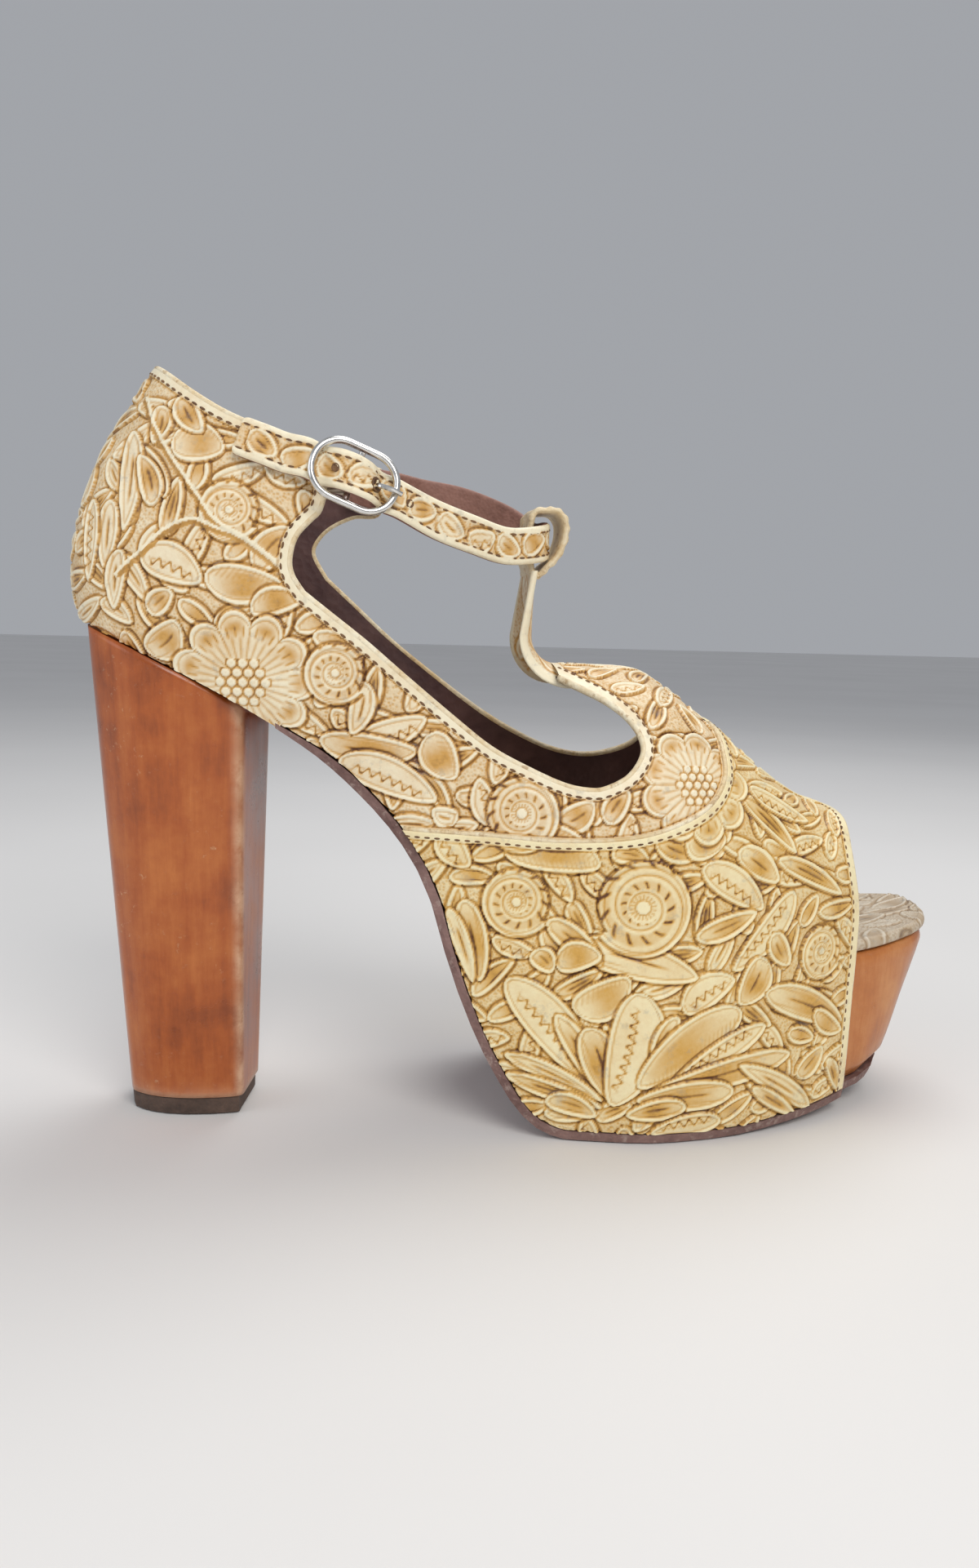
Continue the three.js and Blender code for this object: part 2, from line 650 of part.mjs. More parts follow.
// Heel
function heelRing(length, width, back, height) {
  const twist = new THREE.Vector2(Math.cos(heelTwist), Math.sin(heelTwist));
  const origin = centreLine(0.04);
  const place = (row, side) => {
    const ahead = back + row.along * length;
    const aside = (side * row.wide * width) / 2;
    return new THREE.Vector3(
      ahead + aside * heelBreastSkew * row.along,
      origin + (ahead - heelBackInset) * twist.y + aside * twist.x,
      height,
    );
  };
  const lateral = heelOutline.map((row) => place(row, -1));
  const medial = heelOutline.map((row) => place(row, 1)).toReversed();
  return [...lateral, ...medial];
}
function heelRings(from, to, shrink) {
  const full = footbedBackHeight;
  return [from, to].map((height) => {
    const share = height / full;
    const length = heelBottomLength + (heelTopLength - heelBottomLength) * share;
    const width = heelBottomWidth + (heelTopWidth - heelBottomWidth) * share;
    const back = heelBackInset + heelRake * (1 - share);
    return heelRing(length - shrink, width - shrink / 2, back + shrink * 0.2, height);
  });
}
function heel() {
  const under = soleLine(() => 0, -0.05, 0.3);
  const block = loft(heelRings(liftHeight + clearance, footbedBackHeight, 0));
  return block.intersect(sidePlate([...under, [under.at(-1)[0], -far], [-far, -far], [-far, under[0][1]]], -far, far));
}
function topLift() {
  return loft(heelRings(0, liftHeight, liftUndercut));
}

// Ankle strap
const strapLift = clearance + ankleStrapThickness / 2;
// A point a set depth outside the last's skin on one side
function onSide(share, up, side, depth) {
  const height = overFootbed(share, up);
  return new THREE.Vector3(seatX(share), sideReach(share, height, side) + side * depth, height);
}
// Directions of a strap that runs forward at a point: leaning with the quarters, upright ahead of them
function strapFrame(point, forward) {
  const share = point.x / lastLength;
  const beside = Math.min(share, leanEnd);
  const side = Math.sign(point.y - centreLine(share));
  const half = ankleStrapWidth / 2;
  const reach = (height) => sideReach(beside, height, side);
  const lean = (reach(point.z + half) - reach(point.z - half)) / ankleStrapWidth;
  const fade = 1 - THREE.MathUtils.smoothstep(share, leanEnd, leanGone);
  const upward = new THREE.Vector3(0, lean * fade, 1);
  upward.addScaledVector(forward, -upward.dot(forward)).normalize();
  return { upward, outward: forward.clone().cross(upward) };
}
function buckleFrame() {
  const lift = 2 * clearance + ankleStrapThickness + 3 * strapSlack + buckleWire / 2;
  const at = onSide(buckleShare, buckleUp, -1, lift);
  const forward = onSide(buckleAimShare, buckleAimUp, -1, lift).sub(at).normalize();
  return { at, forward, ...strapFrame(at, forward) };
}
function inBuckle(frame, ahead, outward, upward = 0) {
  return frame.at
    .clone()
    .addScaledVector(frame.forward, ahead)
    .addScaledVector(frame.outward, outward)
    .addScaledVector(frame.upward, upward);
}
// Middle line of the ankle strap: tip, over the quarter, under the buckle's rims and over its bar, loop, medial side
function strapPath() {
  const frame = buckleFrame();
  const reach = buckleLength / 2 - buckleWire / 2;
  const low = -(buckleWire / 2 + clearance + strapSlack + ankleStrapThickness / 2);
  const high = barWire / 2 + clearance + ankleStrapThickness / 2 - barSink;
  const points = strapTipRoute.map((row) => onSide(row.at, row.up, -1, strapLift + strapSlack));
  points.push(
    inBuckle(frame, -reach - 1.5, low),
    inBuckle(frame, -reach * 0.72, low),
    inBuckle(frame, -reach * 0.33, high - 0.7),
    inBuckle(frame, 0, high),
    inBuckle(frame, reach * 0.33, high - 0.7),
    inBuckle(frame, reach * 0.72, low),
    inBuckle(frame, reach + 1.5, low),
  );
  for (const row of strapRoute) {
    points.push(new THREE.Vector3(seatX(row.at), row.across * ballWidth, overFootbed(row.at, row.up)));
  }
  const behind = -(upperWall + strapLift + strapRootSlack);
  points.push(...strapRootRoute.map((row) => onSide(row.at, row.up, 1, behind)));
  return new THREE.CatmullRomCurve3(points, false, "centripetal");
}
// A flat band along a path, its middle line at half its thickness
function ribbon(path, steps, thickness, width) {
  const corners = [[1, -1], [1, 1], [-1, 1], [-1, -1]];
  const rings = shareSteps(0, 1, steps).map((share) => {
    const at = path.getPointAt(share);
    const { outward, upward } = strapFrame(at, path.getTangentAt(share));
    return corners.map(([out, up]) =>
      at
        .clone()
        .addScaledVector(outward, (out * thickness) / 2)
        .addScaledVector(upward, (up * width(share)) / 2),
    );
  });
  return loft(rings);
}
function ankleStrap() {
  const width = (share) => {
    const medial = THREE.MathUtils.smoothstep(share, 0.6, 0.8);
    return THREE.MathUtils.lerp(ankleStrapWidth, ankleStrapMedialWidth, medial);
  };
  const frame = buckleFrame();
  const hole = new THREE.CylinderGeometry(prongHole / 2, prongHole / 2, 12, 10);
  hole.applyQuaternion(new THREE.Quaternion().setFromUnitVectors(new THREE.Vector3(0, 1, 0), frame.outward));
  const spot = inBuckle(frame, prongExit, 0);
  hole.translate(spot.x, spot.y, spot.z);
  return ribbon(strapPath(), 88, ankleStrapThickness, width).subtract(toSolid(hole));
}

// Buckle
function wire(points, radius, across, joined = false) {
  const path = new THREE.CatmullRomCurve3(points, joined, "centripetal");
  const steps = joined ? points.length : points.length * 3;
  const stops = joined ? steps : steps + 1;
  const rings = Array.from({ length: stops }, (_, i) => {
    const at = path.getPointAt(i / steps);
    const beside = path.getTangentAt(i / steps).cross(across);
    return Array.from({ length: wireSides }, (__, j) => {
      const angle = (j / wireSides) * Math.PI * 2;
      return at
        .clone()
        .addScaledVector(across, radius * Math.cos(angle))
        .addScaledVector(beside, radius * Math.sin(angle));
    });
  });
  return loft(rings, joined);
}
function buckleRing() {
  const frame = buckleFrame();
  const halfLength = (buckleLength - buckleWire) / 2;
  const halfHeight = (buckleHeight - buckleWire) / 2;
  const corner = Math.min(buckleCorner, halfHeight - 0.2);
  const points = [];
  for (const [a, b, turn] of [[1, 1, 0], [-1, 1, 1], [-1, -1, 2], [1, -1, 3]]) {
    for (let i = 0; i < 6; i++) {
      const angle = (turn + (i + 0.5) / 6) * (Math.PI / 2);
      const ahead = a * (halfLength - corner) + corner * Math.cos(angle);
      const above = b * (halfHeight - corner) + corner * Math.sin(angle);
      points.push(inBuckle(frame, ahead, 0, above));
    }
  }
  const bar = [-1, -0.75, 0, 0.75, 1].map((side) => {
    const sink = Math.abs(side) === 1 ? barSink * 0.3 : barSink;
    return inBuckle(frame, 0, -sink, side * halfHeight);
  });
  return wire(points, buckleWire / 2, frame.outward, true).add(wire(bar, barWire / 2, frame.forward));
}
function buckleProng() {
  const frame = buckleFrame();
  const hug = barWire / 2 + clearance + prongWire / 2;
  const points = [165, 200, 235, 270, 310].map((degrees) => {
    const angle = THREE.MathUtils.degToRad(degrees);
    return inBuckle(frame, hug * Math.cos(angle), -barSink + hug * Math.sin(angle));
  });
  const rim = (buckleLength - buckleWire) / 2;
  const top = buckleWire / 2 + clearance + prongWire / 2;
  points.push(inBuckle(frame, prongExit - 1.4, -2.3));
  points.push(inBuckle(frame, prongExit - 0.2, -1.2));
  points.push(inBuckle(frame, prongExit + 0.5, 0.9));
  points.push(inBuckle(frame, rim - 1.6, top + 0.35));
  points.push(inBuckle(frame, rim + 1.3, top));
  return wire(points, prongWire / 2, frame.upward);
}
// Elastic from the inner face of the lateral quarter to the buckle's bar, with a slot for the prong
function elasticTab() {
  const frame = buckleFrame();
  const behind = -(upperWall + clearance + elasticThickness / 2 + strapSlack);
  const hug = barWire / 2 + clearance + strapSlack + elasticThickness / 2;
  const points = elasticRoute.map((row) => onSide(row.at, row.up, -1, behind));
  points.push(onSide(0.264, 0.834, -1, behind + strapSlack));
  points.push(inBuckle(frame, -1.7, -barSink - hug - 0.7));
  points.push(inBuckle(frame, 0.6, -barSink - hug));
  const path = new THREE.CatmullRomCurve3(points, false, "centripetal");
  const slot = new THREE.BoxGeometry(7, 7, prongWire + 4 * clearance);
  slot.applyMatrix4(new THREE.Matrix4().makeBasis(frame.forward, frame.outward, frame.upward.clone().negate()));
  const spot = inBuckle(frame, 1, -barSink - hug);
  slot.translate(spot.x, spot.y, spot.z);
  return ribbon(path, 12, elasticThickness, () => elasticWidth).subtract(toSolid(slot));
}

// Assembly
const shoe = new THREE.Group();
function piece(name, solid, color, roughness, metalness = 0) {
  const material = new THREE.MeshStandardMaterial({ color, roughness, metalness });
  const mesh = new THREE.Mesh(toGeometry(solid), material);
  mesh.name = name;
  shoe.add(mesh);
}
const heelStop = insideSkin + 3 * clearance;
const behindSkin = [[-far, -far], [heelStop, -far], [heelStop, far], [-far, far]];
const inside = lastSolid(insideSkin).subtract(sidePlate(behindSkin, -plateReach, plateReach));
piece("upper", upperShell().add(tStrap()).add(strapLoop()), 0xe6d9b0, 0.6);
piece("insole", insole(inside), 0xd8c28c, 0.6);
piece("platform", platform(inside), 0xb56a38, 0.5);
piece("outsole", outsole(inside), 0x5a3a32, 0.7);
piece("heel", heel(), 0xa04f1e, 0.45);
piece("top_lift", topLift(), 0x4a3730, 0.8);
piece("ankle_strap", ankleStrap(), 0xe0d2a8, 0.6);
piece("buckle_frame", buckleRing(), 0xc8c8c8, 0.25, 1);
piece("buckle_prong", buckleProng(), 0xc8c8c8, 0.25, 1);
piece("elastic_tab", elasticTab(), 0xcbb9a2, 0.9);

// The frame's origin is under the middle of the shoe
const size = new THREE.Box3().setFromObject(shoe);
shoe.position.set(-(size.min.x + size.max.x) / 2, -(size.min.y + size.max.y) / 2, 0);

export default shoe;
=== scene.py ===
import math

import bpy
import numpy as np
from mathutils import Matrix, Vector


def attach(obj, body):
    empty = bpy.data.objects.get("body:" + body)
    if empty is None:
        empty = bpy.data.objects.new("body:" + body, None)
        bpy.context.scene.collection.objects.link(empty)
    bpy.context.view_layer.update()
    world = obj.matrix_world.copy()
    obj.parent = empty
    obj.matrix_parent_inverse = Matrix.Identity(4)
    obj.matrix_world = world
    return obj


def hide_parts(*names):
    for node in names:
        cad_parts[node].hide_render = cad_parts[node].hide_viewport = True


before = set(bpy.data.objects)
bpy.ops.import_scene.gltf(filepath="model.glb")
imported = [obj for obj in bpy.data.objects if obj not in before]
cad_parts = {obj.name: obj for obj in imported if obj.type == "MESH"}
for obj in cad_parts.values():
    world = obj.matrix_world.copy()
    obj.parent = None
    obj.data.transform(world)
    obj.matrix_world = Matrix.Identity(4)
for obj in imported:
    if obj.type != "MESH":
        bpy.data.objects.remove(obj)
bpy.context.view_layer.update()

# Sizes in millimetres, in the shoe's own frame: x from the back, y to the medial side, z from the floor
OFFSET = np.array([-120.86, 1.25, 0.0])
LAST_LENGTH = 243.4
BALL_WIDTH = 86
FOOTBED_BACK = 138
FOOTBED_BALL = 46
INSTEP_RISE = 70
BACK_RISE = 56
WALL = 1.8
CLEARANCE = 0.3
INSOLE_THICKNESS = 3.6
OUTSOLE_THICKNESS = 2.4
OUTSOLE_SKIVED = 0.9
HEEL_TOP = (43.4, 47)
HEEL_BOTTOM = (31, 23.6)
HEEL_BACK_INSET = 3.7
HEEL_RAKE = 10.3
HEEL_TWIST = -0.12
HEEL_SKEW = 0.19
LIFT_HEIGHT = 4.3
LATERAL_EDGE = -0.36 * BALL_WIDTH
STRAP_THICKNESS = 2.2
STRAP_WIDTH = 9.4
STRAP_MEDIAL_WIDTH = 11.4
STRAP_SLACK = 0.15
STRAP_ROOT_SLACK = 1.5
BUCKLE_LENGTH = 22.6
BUCKLE_HEIGHT = 15.8
BUCKLE_WIRE = 1.8
BAR_WIRE = 1.6
BAR_SINK = 1
PRONG_EXIT = 5.6
T_FOOT = 0.518
T_WIDTH = 16
T_BEND = 7.4
T_RISE = 16.5
T_ARCH = 3.2
T_SPREAD = 0.5
LOOP_SIZE = (11.2, 15, 18.4)
LOOP_WALL = 1.6

# How finely the surfaces are made, in millimetres or steps
LATERAL_STEP = 0.36
MEDIAL_STEP = 0.52
COVER_COARSER = 0.02
LINING_STEP = 1.6
EDGE_STEP = 0.8
STRAP_STEP = 0.45
TOP_STEPS = 260
HEEL_LEVELS = 70

# Sizes of what is only on the surface
LEAF_SPREAD = 10.5
INSOLE_SPREAD = 13
EDGE_RADIUS = 0.85
EDGE_PROUD = 0.12
SEAM_RADIUS = 0.6
T_BAND = 6.2
STRAP_BAND = 1.7
STRAP_CORNER = 0.55
STRAP_ACROSS = 22


def table(names, rows):
    return dict(zip(names.split(), np.array(rows, float).T))


STATIONS = table(
    "at rise out in wide instep back round low waist square",
    [
        (0.0, 1.0, -0.025, 0.045, 0.03, 0, 0.065, 2, 0.992, 1, 2),
        (0.0015, 0.999, 0.025, 0.095, 0.03, 0, 0.17, 2, 0.968, 1, 2),
        (0.006, 0.992, 0.072, 0.141, 0.04, 0, 0.27, 2, 0.945, 1, 2),
        (0.013, 0.983, 0.117, 0.18, 0.055, 0, 0.39, 2, 0.915, 1, 2.1),
        (0.022, 0.972, 0.152, 0.21, 0.07, 0, 0.51, 2, 0.885, 0.99, 2.2),
        (0.036, 0.956, 0.19, 0.237, 0.095, 0, 0.675, 2, 0.85, 0.98, 2.3),
        (0.052, 0.938, 0.221, 0.259, 0.12, 0, 0.82, 2, 0.82, 0.97, 2.4),
        (0.068, 0.921, 0.246, 0.273, 0.14, 0, 0.955, 2.02, 0.8, 0.96, 2.5),
        (0.087, 0.9, 0.27, 0.284, 0.165, 0, 1.11, 2.05, 0.79, 0.94, 2.6),
        (0.125, 0.858, 0.302, 0.295, 0.21, 0, 1.36, 2.15, 0.78, 0.92, 2.8),
        (0.185, 0.783, 0.328, 0.292, 0.27, 0, 1.68, 2.3, 0.77, 0.87, 3),
        (0.25, 0.68, 0.342, 0.292, 0.31, 0, 1.8, 2.45, 0.74, 0.85, 3),
        (0.31, 0.548, 0.355, 0.3, 0.31, 0.25, 1.4, 2.5, 0.66, 0.88, 3.2),
        (0.37, 0.405, 0.375, 0.315, 0.26, 0.62, 0.65, 2.4, 0.45, 0.93, 4),
        (0.43, 0.265, 0.405, 0.343, 0.22, 0.84, 0.12, 2.25, 0.05, 0.96, 6),
        (0.49, 0.152, 0.448, 0.385, 0.22, 0.87, 0, 2.1, -0.13, 0.98, 8),
        (0.55, 0.073, 0.49, 0.425, 0.22, 0.955, 0, 2.1, -0.15, 0.99, 8),
        (0.604, 0.033, 0.517, 0.457, 0.2, 0.995, 0, 2.15, -0.16, 0.99, 8),
        (0.63, 0.02, 0.515, 0.47, 0.19, 0.966, 0, 2.2, -0.16, 0.99, 8),
        (0.7, 0.001, 0.485, 0.488, 0.15, 0.808, 0, 2.3, -0.16, 0.985, 8),
        (0.766, 0.001, 0.425, 0.476, 0.11, 0.63, 0, 2.5, -0.16, 0.975, 8),
        (0.815, 0.008, 0.366, 0.45, 0.08, 0.525, 0, 2.7, -0.16, 0.965, 7),
        (0.85, 0.016, 0.316, 0.422, 0.06, 0.478, 0, 2.8, -0.16, 0.95, 6),
        (0.877, 0.023, 0.296, 0.394, 0.045, 0.44, 0, 2.7, -0.13, 0.93, 5),
        (0.9, 0.03, 0.272, 0.365, 0.03, 0.37, 0, 2.5, -0.06, 0.91, 3.6),
        (0.922, 0.036, 0.24, 0.336, 0.02, 0.3, 0, 2.3, 0.06, 0.94, 2.7),
        (0.945, 0.043, 0.2, 0.306, 0.01, 0.33, 0, 2.2, 0.355, 0.97, 2.2),
        (0.966, 0.049, 0.146, 0.277, 0, 0.28, 0, 2.1, 0.62, 1, 2),
        (0.983, 0.055, 0.07, 0.24, -0.01, 0.22, 0, 2, 0.83, 1, 2),
        (0.994, 0.058, -0.02, 0.19, -0.015, 0.15, 0, 2, 0.92, 1, 2),
        (1.0, 0.06, -0.1, 0.12, -0.02, 0.06, 0, 2, 0.955, 1, 2),
    ],
)
UNDERSIDE = table(
    "at under leather",
    [
        (0.0, 0.937, 0), (0.04, 0.935, 0), (0.1, 0.925, 0), (0.183, 0.907, 0), (0.225, 0.897, 0.3),
        (0.26, 0.889, 0.8), (0.293, 0.875, 1), (0.329, 0.845, 1), (0.356, 0.79, 1), (0.372, 0.715, 1),
        (0.385, 0.6, 1), (0.404, 0.462, 1), (0.424, 0.335, 1), (0.448, 0.204, 1), (0.468, 0.105, 1),
        (0.49, 0.038, 1), (0.52, 0, 1), (0.68, 0, 1), (0.75, 0.022, 1), (0.81, 0.052, 1), (0.87, 0.1, 1),
        (0.93, 0.155, 1), (1.0, 0.22, 1),
    ],
)
COLLAR_LATERAL = table(
    "at up",
    [
        (0.074, 0.901), (0.0863, 0.886), (0.1007, 0.865), (0.1241, 0.835), (0.152, 0.815), (0.178, 0.815),
        (0.215, 0.837), (0.24, 0.853), (0.258, 0.866),
    ],
)
COLLAR_MEDIAL = table(
    "at up",
    [
        (0.074, 0.901), (0.0863, 0.886), (0.1007, 0.874), (0.127, 0.865), (0.177, 0.885), (0.234, 0.941),
        (0.288, 1.03), (0.325, 1.11),
    ],
)
QUARTER_FRONT_LATERAL = table(
    "at up",
    [
        (0.258, 0.866), (0.2595, 0.842), (0.2585, 0.795), (0.2572, 0.735), (0.2527, 0.675), (0.2453, 0.631),
        (0.2305, 0.538), (0.2247, 0.449), (0.2272, 0.397), (0.2383, 0.362),
    ],
)
QUARTER_FRONT_MEDIAL = table(
    "at up",
    [
        (0.325, 1.11), (0.326, 0.957), (0.296, 0.845), (0.269, 0.718), (0.253, 0.614), (0.2506, 0.551),
        (0.265, 0.5),
    ],
)
OPENING_EDGE_LATERAL = table(
    "at up",
    [
        (0.2383, 0.362), (0.2625, 0.357), (0.3, 0.368), (0.338, 0.374), (0.388, 0.39), (0.4265, 0.406),
        (0.4634, 0.438), (0.5, 0.465), (0.525, 0.496), (0.542, 0.529), (0.566, 0.601), (0.582, 0.688),
        (0.5834, 0.751), (0.573, 0.808), (0.5534, 0.845), (0.532, 0.854), (0.509, 0.853),
    ],
)
OPENING_EDGE_MEDIAL = table(
    "at up",
    [
        (0.265, 0.5), (0.295, 0.494), (0.349, 0.495), (0.425, 0.536), (0.468, 0.552), (0.512, 0.563),
        (0.546, 0.571), (0.58, 0.586), (0.612, 0.62), (0.644, 0.681), (0.6606, 0.767), (0.6594, 0.845),
        (0.641, 0.898), (0.604, 0.919), (0.559, 0.906), (0.509, 0.853),
    ],
)
TOE_EDGE = table(
    "at up",
    [
        (0.8422, -0.85), (0.8422, -0.32), (0.8439, 0.081), (0.8385, 0.269), (0.8375, 0.35), (0.841, 0.41),
        (0.8505, 0.475), (0.856, 0.56), (0.856, 0.89),
    ],
)
STRAP_ROUTE = table(
    "at across up",
    [
        (0.37, -0.287, 1.02), (0.409, -0.252, 1.1), (0.4486, -0.193, 1.18), (0.4908, -0.1175, 1.299),
        (0.4995, -0.031, 1.336), (0.4908, 0.056, 1.323), (0.462, 0.145, 1.325), (0.413, 0.205, 1.254),
        (0.37, 0.222, 1.145),
    ],
)
STRAP_TIP_ROUTE = table(
    "at up",
    [
        (0.176, 0.756), (0.201, 0.773), (0.221, 0.789),
    ],
)
STRAP_ROOT_ROUTE = table(
    "at up",
    [
        (0.337, 1.055), (0.315, 1.003), (0.29, 0.945),
    ],
)
SOLE_SLANT = table(
    "at slant",
    [
        (0.26, 0), (0.39, 0.17), (0.53, 0.17), (0.68, 0),
    ],
)
HEEL_OUTLINE = table(
    "along wide",
    [
        (0, 0.3), (0.03, 0.56), (0.1, 0.72), (0.2, 0.86), (0.34, 0.96), (0.52, 1), (0.75, 0.955),
        (0.94, 0.86), (1, 0.8),
    ],
)
LOOP_CONTOUR = table(
    "ahead above",
    [
        (-0.45, -1), (0, -0.74), (0.5, -0.45), (0.88, 0), (1, 0.4), (0.9, 0.75), (0.48, 0.98), (-0.06, 1),
        (-0.75, 0.92), (-0.98, 0.55), (-1, 0), (-0.94, -0.54), (-0.8, -0.93),
    ],
)


def along(rows, name, place):
    """Value of a column at places along a table, on a curve that never overshoots its rows"""
    key = "along" if "along" in rows else "at"
    x, y = rows[key], rows[name]
    place = np.clip(place, x[0], x[-1])
    h = np.diff(x)
    slope = np.diff(y) / h
    tangent = np.concatenate([slope[:1], np.zeros(len(x) - 2), slope[-1:]])
    before, after = slope[:-1], slope[1:]
    a = 2 * h[1:] + h[:-1]
    b = h[1:] + 2 * h[:-1]
    turns = before * after > 0
    tangent[1:-1][turns] = ((a + b)[turns]) / (a[turns] / before[turns] + b[turns] / after[turns])
    i = np.clip(np.searchsorted(x, place, side="right") - 1, 0, len(h) - 1)
    t = (place - x[i]) / h[i]
    smooth = y[i] + (y[i + 1] - y[i]) * t * t * (3 - 2 * t)
    return smooth + t * (1 - t) * ((1 - t) * tangent[i] - t * tangent[i + 1]) * h[i]


def unit(vectors):
    """Vectors at length one"""
    return vectors / np.maximum(np.linalg.norm(vectors, axis=-1, keepdims=True), 1e-9)


def arc_of(line):
    """Distance along a line to each of its points"""
    return np.concatenate([[0], np.cumsum(np.linalg.norm(np.diff(line, axis=0), axis=1))])


def pick(at, places, columns):
    """Rows of a table read at some places"""
    return np.stack([np.interp(at, places, c) for c in columns.T], 1)


def smoothstep(low, high, value):
    t = np.clip((value - low) / (high - low), 0, 1)
    return t * t * (3 - 2 * t)


def footbed(share):
    return FOOTBED_BALL + (FOOTBED_BACK - FOOTBED_BALL) * along(STATIONS, "rise", share)


def crest(share):
    instep = along(STATIONS, "instep", share) * INSTEP_RISE
    return footbed(share) + instep + along(STATIONS, "back", share) * BACK_RISE


def widest(share):
    return footbed(share) + along(STATIONS, "wide", share) * INSTEP_RISE


def centre_line(share):
    return (along(STATIONS, "in", share) - along(STATIONS, "out", share)) * BALL_WIDTH / 2


def half_width(share):
    return (along(STATIONS, "in", share) + along(STATIONS, "out", share)) * BALL_WIDTH / 2


def side_reach(share, height, side):
    full = np.clip((height - widest(share)) / (crest(share) - widest(share)), 0, 1)
    power = along(STATIONS, "round", share)
    return centre_line(share) + side * half_width(share) * (1 - full**power) ** (1 / power)


def half_ring(share):
    """Heights and width shares of one side of a section, from the crest down to the foot"""
    angle = np.linspace(0, np.pi / 2, TOP_STEPS)
    power = 2 / along(STATIONS, "round", share)
    top, middle = crest(share), widest(share)
    foot = footbed(share) * along(STATIONS, "low", share)
    upper_z = middle + (top - middle) * np.cos(angle) ** power
    upper_w = np.sin(angle) ** power
    square = along(STATIONS, "square", share)
    wide = np.linspace(0, 1, 200)
    fall = np.unique(np.concatenate([np.linspace(0, 1, 200)[1:], (1 - wide**square) ** (1 / square)]))
    fall = fall[fall > 1e-6]
    narrow = 1 + (along(STATIONS, "waist", share) - 1) * fall
    lower_w = narrow * np.clip(1 - fall**square, 0, 1) ** (1 / square)
    z = np.concatenate([upper_z, middle + (foot - middle) * fall])
    return z, np.concatenate([upper_w, lower_w])


def skin_table(shares, rows, side):
    """Points of the skin on a chart: columns at shares of the last, rows at heights along the skin"""
    points = np.zeros((len(shares), len(rows), 3))
    headroom = np.zeros((len(shares), len(rows)))
    for i, share in enumerate(shares):
        z, w = half_ring(share)
        y = centre_line(share) + side * half_width(share) * w
        arc = np.concatenate([[0], np.cumsum(np.hypot(np.diff(y), np.diff(z)))])
        level = widest(share) + arc[TOP_STEPS - 1] - arc
        points[i, :, 0] = share * LAST_LENGTH
        points[i, :, 1] = np.interp(rows, level[::-1], y[::-1])
        points[i, :, 2] = np.interp(rows, level[::-1], z[::-1])
        headroom[i] = level[0] - rows
    return points, headroom


def plan_arc(side):
    """Shares of the last and the distance round its widest level from the back"""
    shares = np.concatenate([np.linspace(0, 0.03, 400)[:-1], np.linspace(0.03, 1, 900)])
    y = centre_line(shares) + side * half_width(shares)
    x = shares * LAST_LENGTH
    return shares, np.concatenate([[0], np.cumsum(np.hypot(np.diff(x), np.diff(y)))])


def shares_evenly(first, last, step, side):
    shares, arc = plan_arc(side)
    start, end = np.interp([first, last], shares, arc)
    u = np.linspace(start, end, int((end - start) / step) + 2)
    return np.interp(u, arc, shares), u


def grid_normals(points):
    ahead = np.gradient(points, axis=0)
    up = np.gradient(points, axis=1)
    normal = np.cross(ahead, up)
    length = np.linalg.norm(normal, axis=2, keepdims=True)
    normal = normal / np.maximum(length, 1e-9)
    for _ in range(3):
        bad = length[..., 0] < 1e-7
        normal[:, :-1][bad[:, :-1]] = normal[:, 1:][bad[:, :-1]]
    return normal


def spline(points, steps):
    """Smooth line through points, as evenly many steps as asked"""
    p = np.asarray(points, float)
    t = np.linspace(0, len(p) - 1, steps + 1)
    i = np.minimum(t.astype(int), len(p) - 2)
    w = (t - i)[:, None]
    p0 = p[np.maximum(i - 1, 0)]
    p1, p2 = p[i], p[i + 1]
    p3 = p[np.minimum(i + 2, len(p) - 1)]
    v0, v1 = (p2 - p0) / 2, (p3 - p1) / 2
    cubic = (2 * p1 - 2 * p2 + v0 + v1) * w**3
    return cubic + (3 * p2 - 3 * p1) * w**2 - (2 * v0 + v1) * w**2 + v0 * w + p1


def edge_line(rows, steps):
    x = rows["at"] * LAST_LENGTH
    z = footbed(rows["at"]) + rows["up"] * INSTEP_RISE
    return spline(np.stack([x, z], 1), steps)


def sole_line(depth, first=-0.02, last=1.03, steps=200):
    """The underside, lifted square to itself"""
    share = np.linspace(first, last, steps + 1)
    height = lambda s: footbed(s) * along(UNDERSIDE, "under", s)
    nudge = 2e-3
    dx = 2 * nudge * LAST_LENGTH
    dz = height(share + nudge) - height(share - nudge)
    length = np.hypot(dx, dz)
    lift = depth(share)
    return np.stack([share * LAST_LENGTH - dz / length * lift, height(share) + dx / length * lift], 1)


def outsole_depth(share):
    return OUTSOLE_SKIVED + (OUTSOLE_THICKNESS - OUTSOLE_SKIVED) * along(UNDERSIDE, "leather", share)


BREAST = (HEEL_BACK_INSET + HEEL_TOP[0] + 4.5 + CLEARANCE) / LAST_LENGTH
FOOT_LINE = np.concatenate(
    [
        sole_line(lambda s: CLEARANCE + 0 * s, -0.02, BREAST, 40),
        sole_line(lambda s: outsole_depth(s) + CLEARANCE, BREAST + 1e-3, 1.03, 160),
    ]
)


def unslant(x, y):
    """Where along the sole's own line a point lies, as the medial side runs ahead"""
    place = x.copy()
    for _ in range(4):
        place = x - along(SOLE_SLANT, "slant", place / LAST_LENGTH) * (y - LATERAL_EDGE)
    return place


def over_foot(points):
    place = unslant(points[..., 0], points[..., 1])
    return points[..., 2] - np.interp(place, FOOT_LINE[:, 0], FOOT_LINE[:, 1])


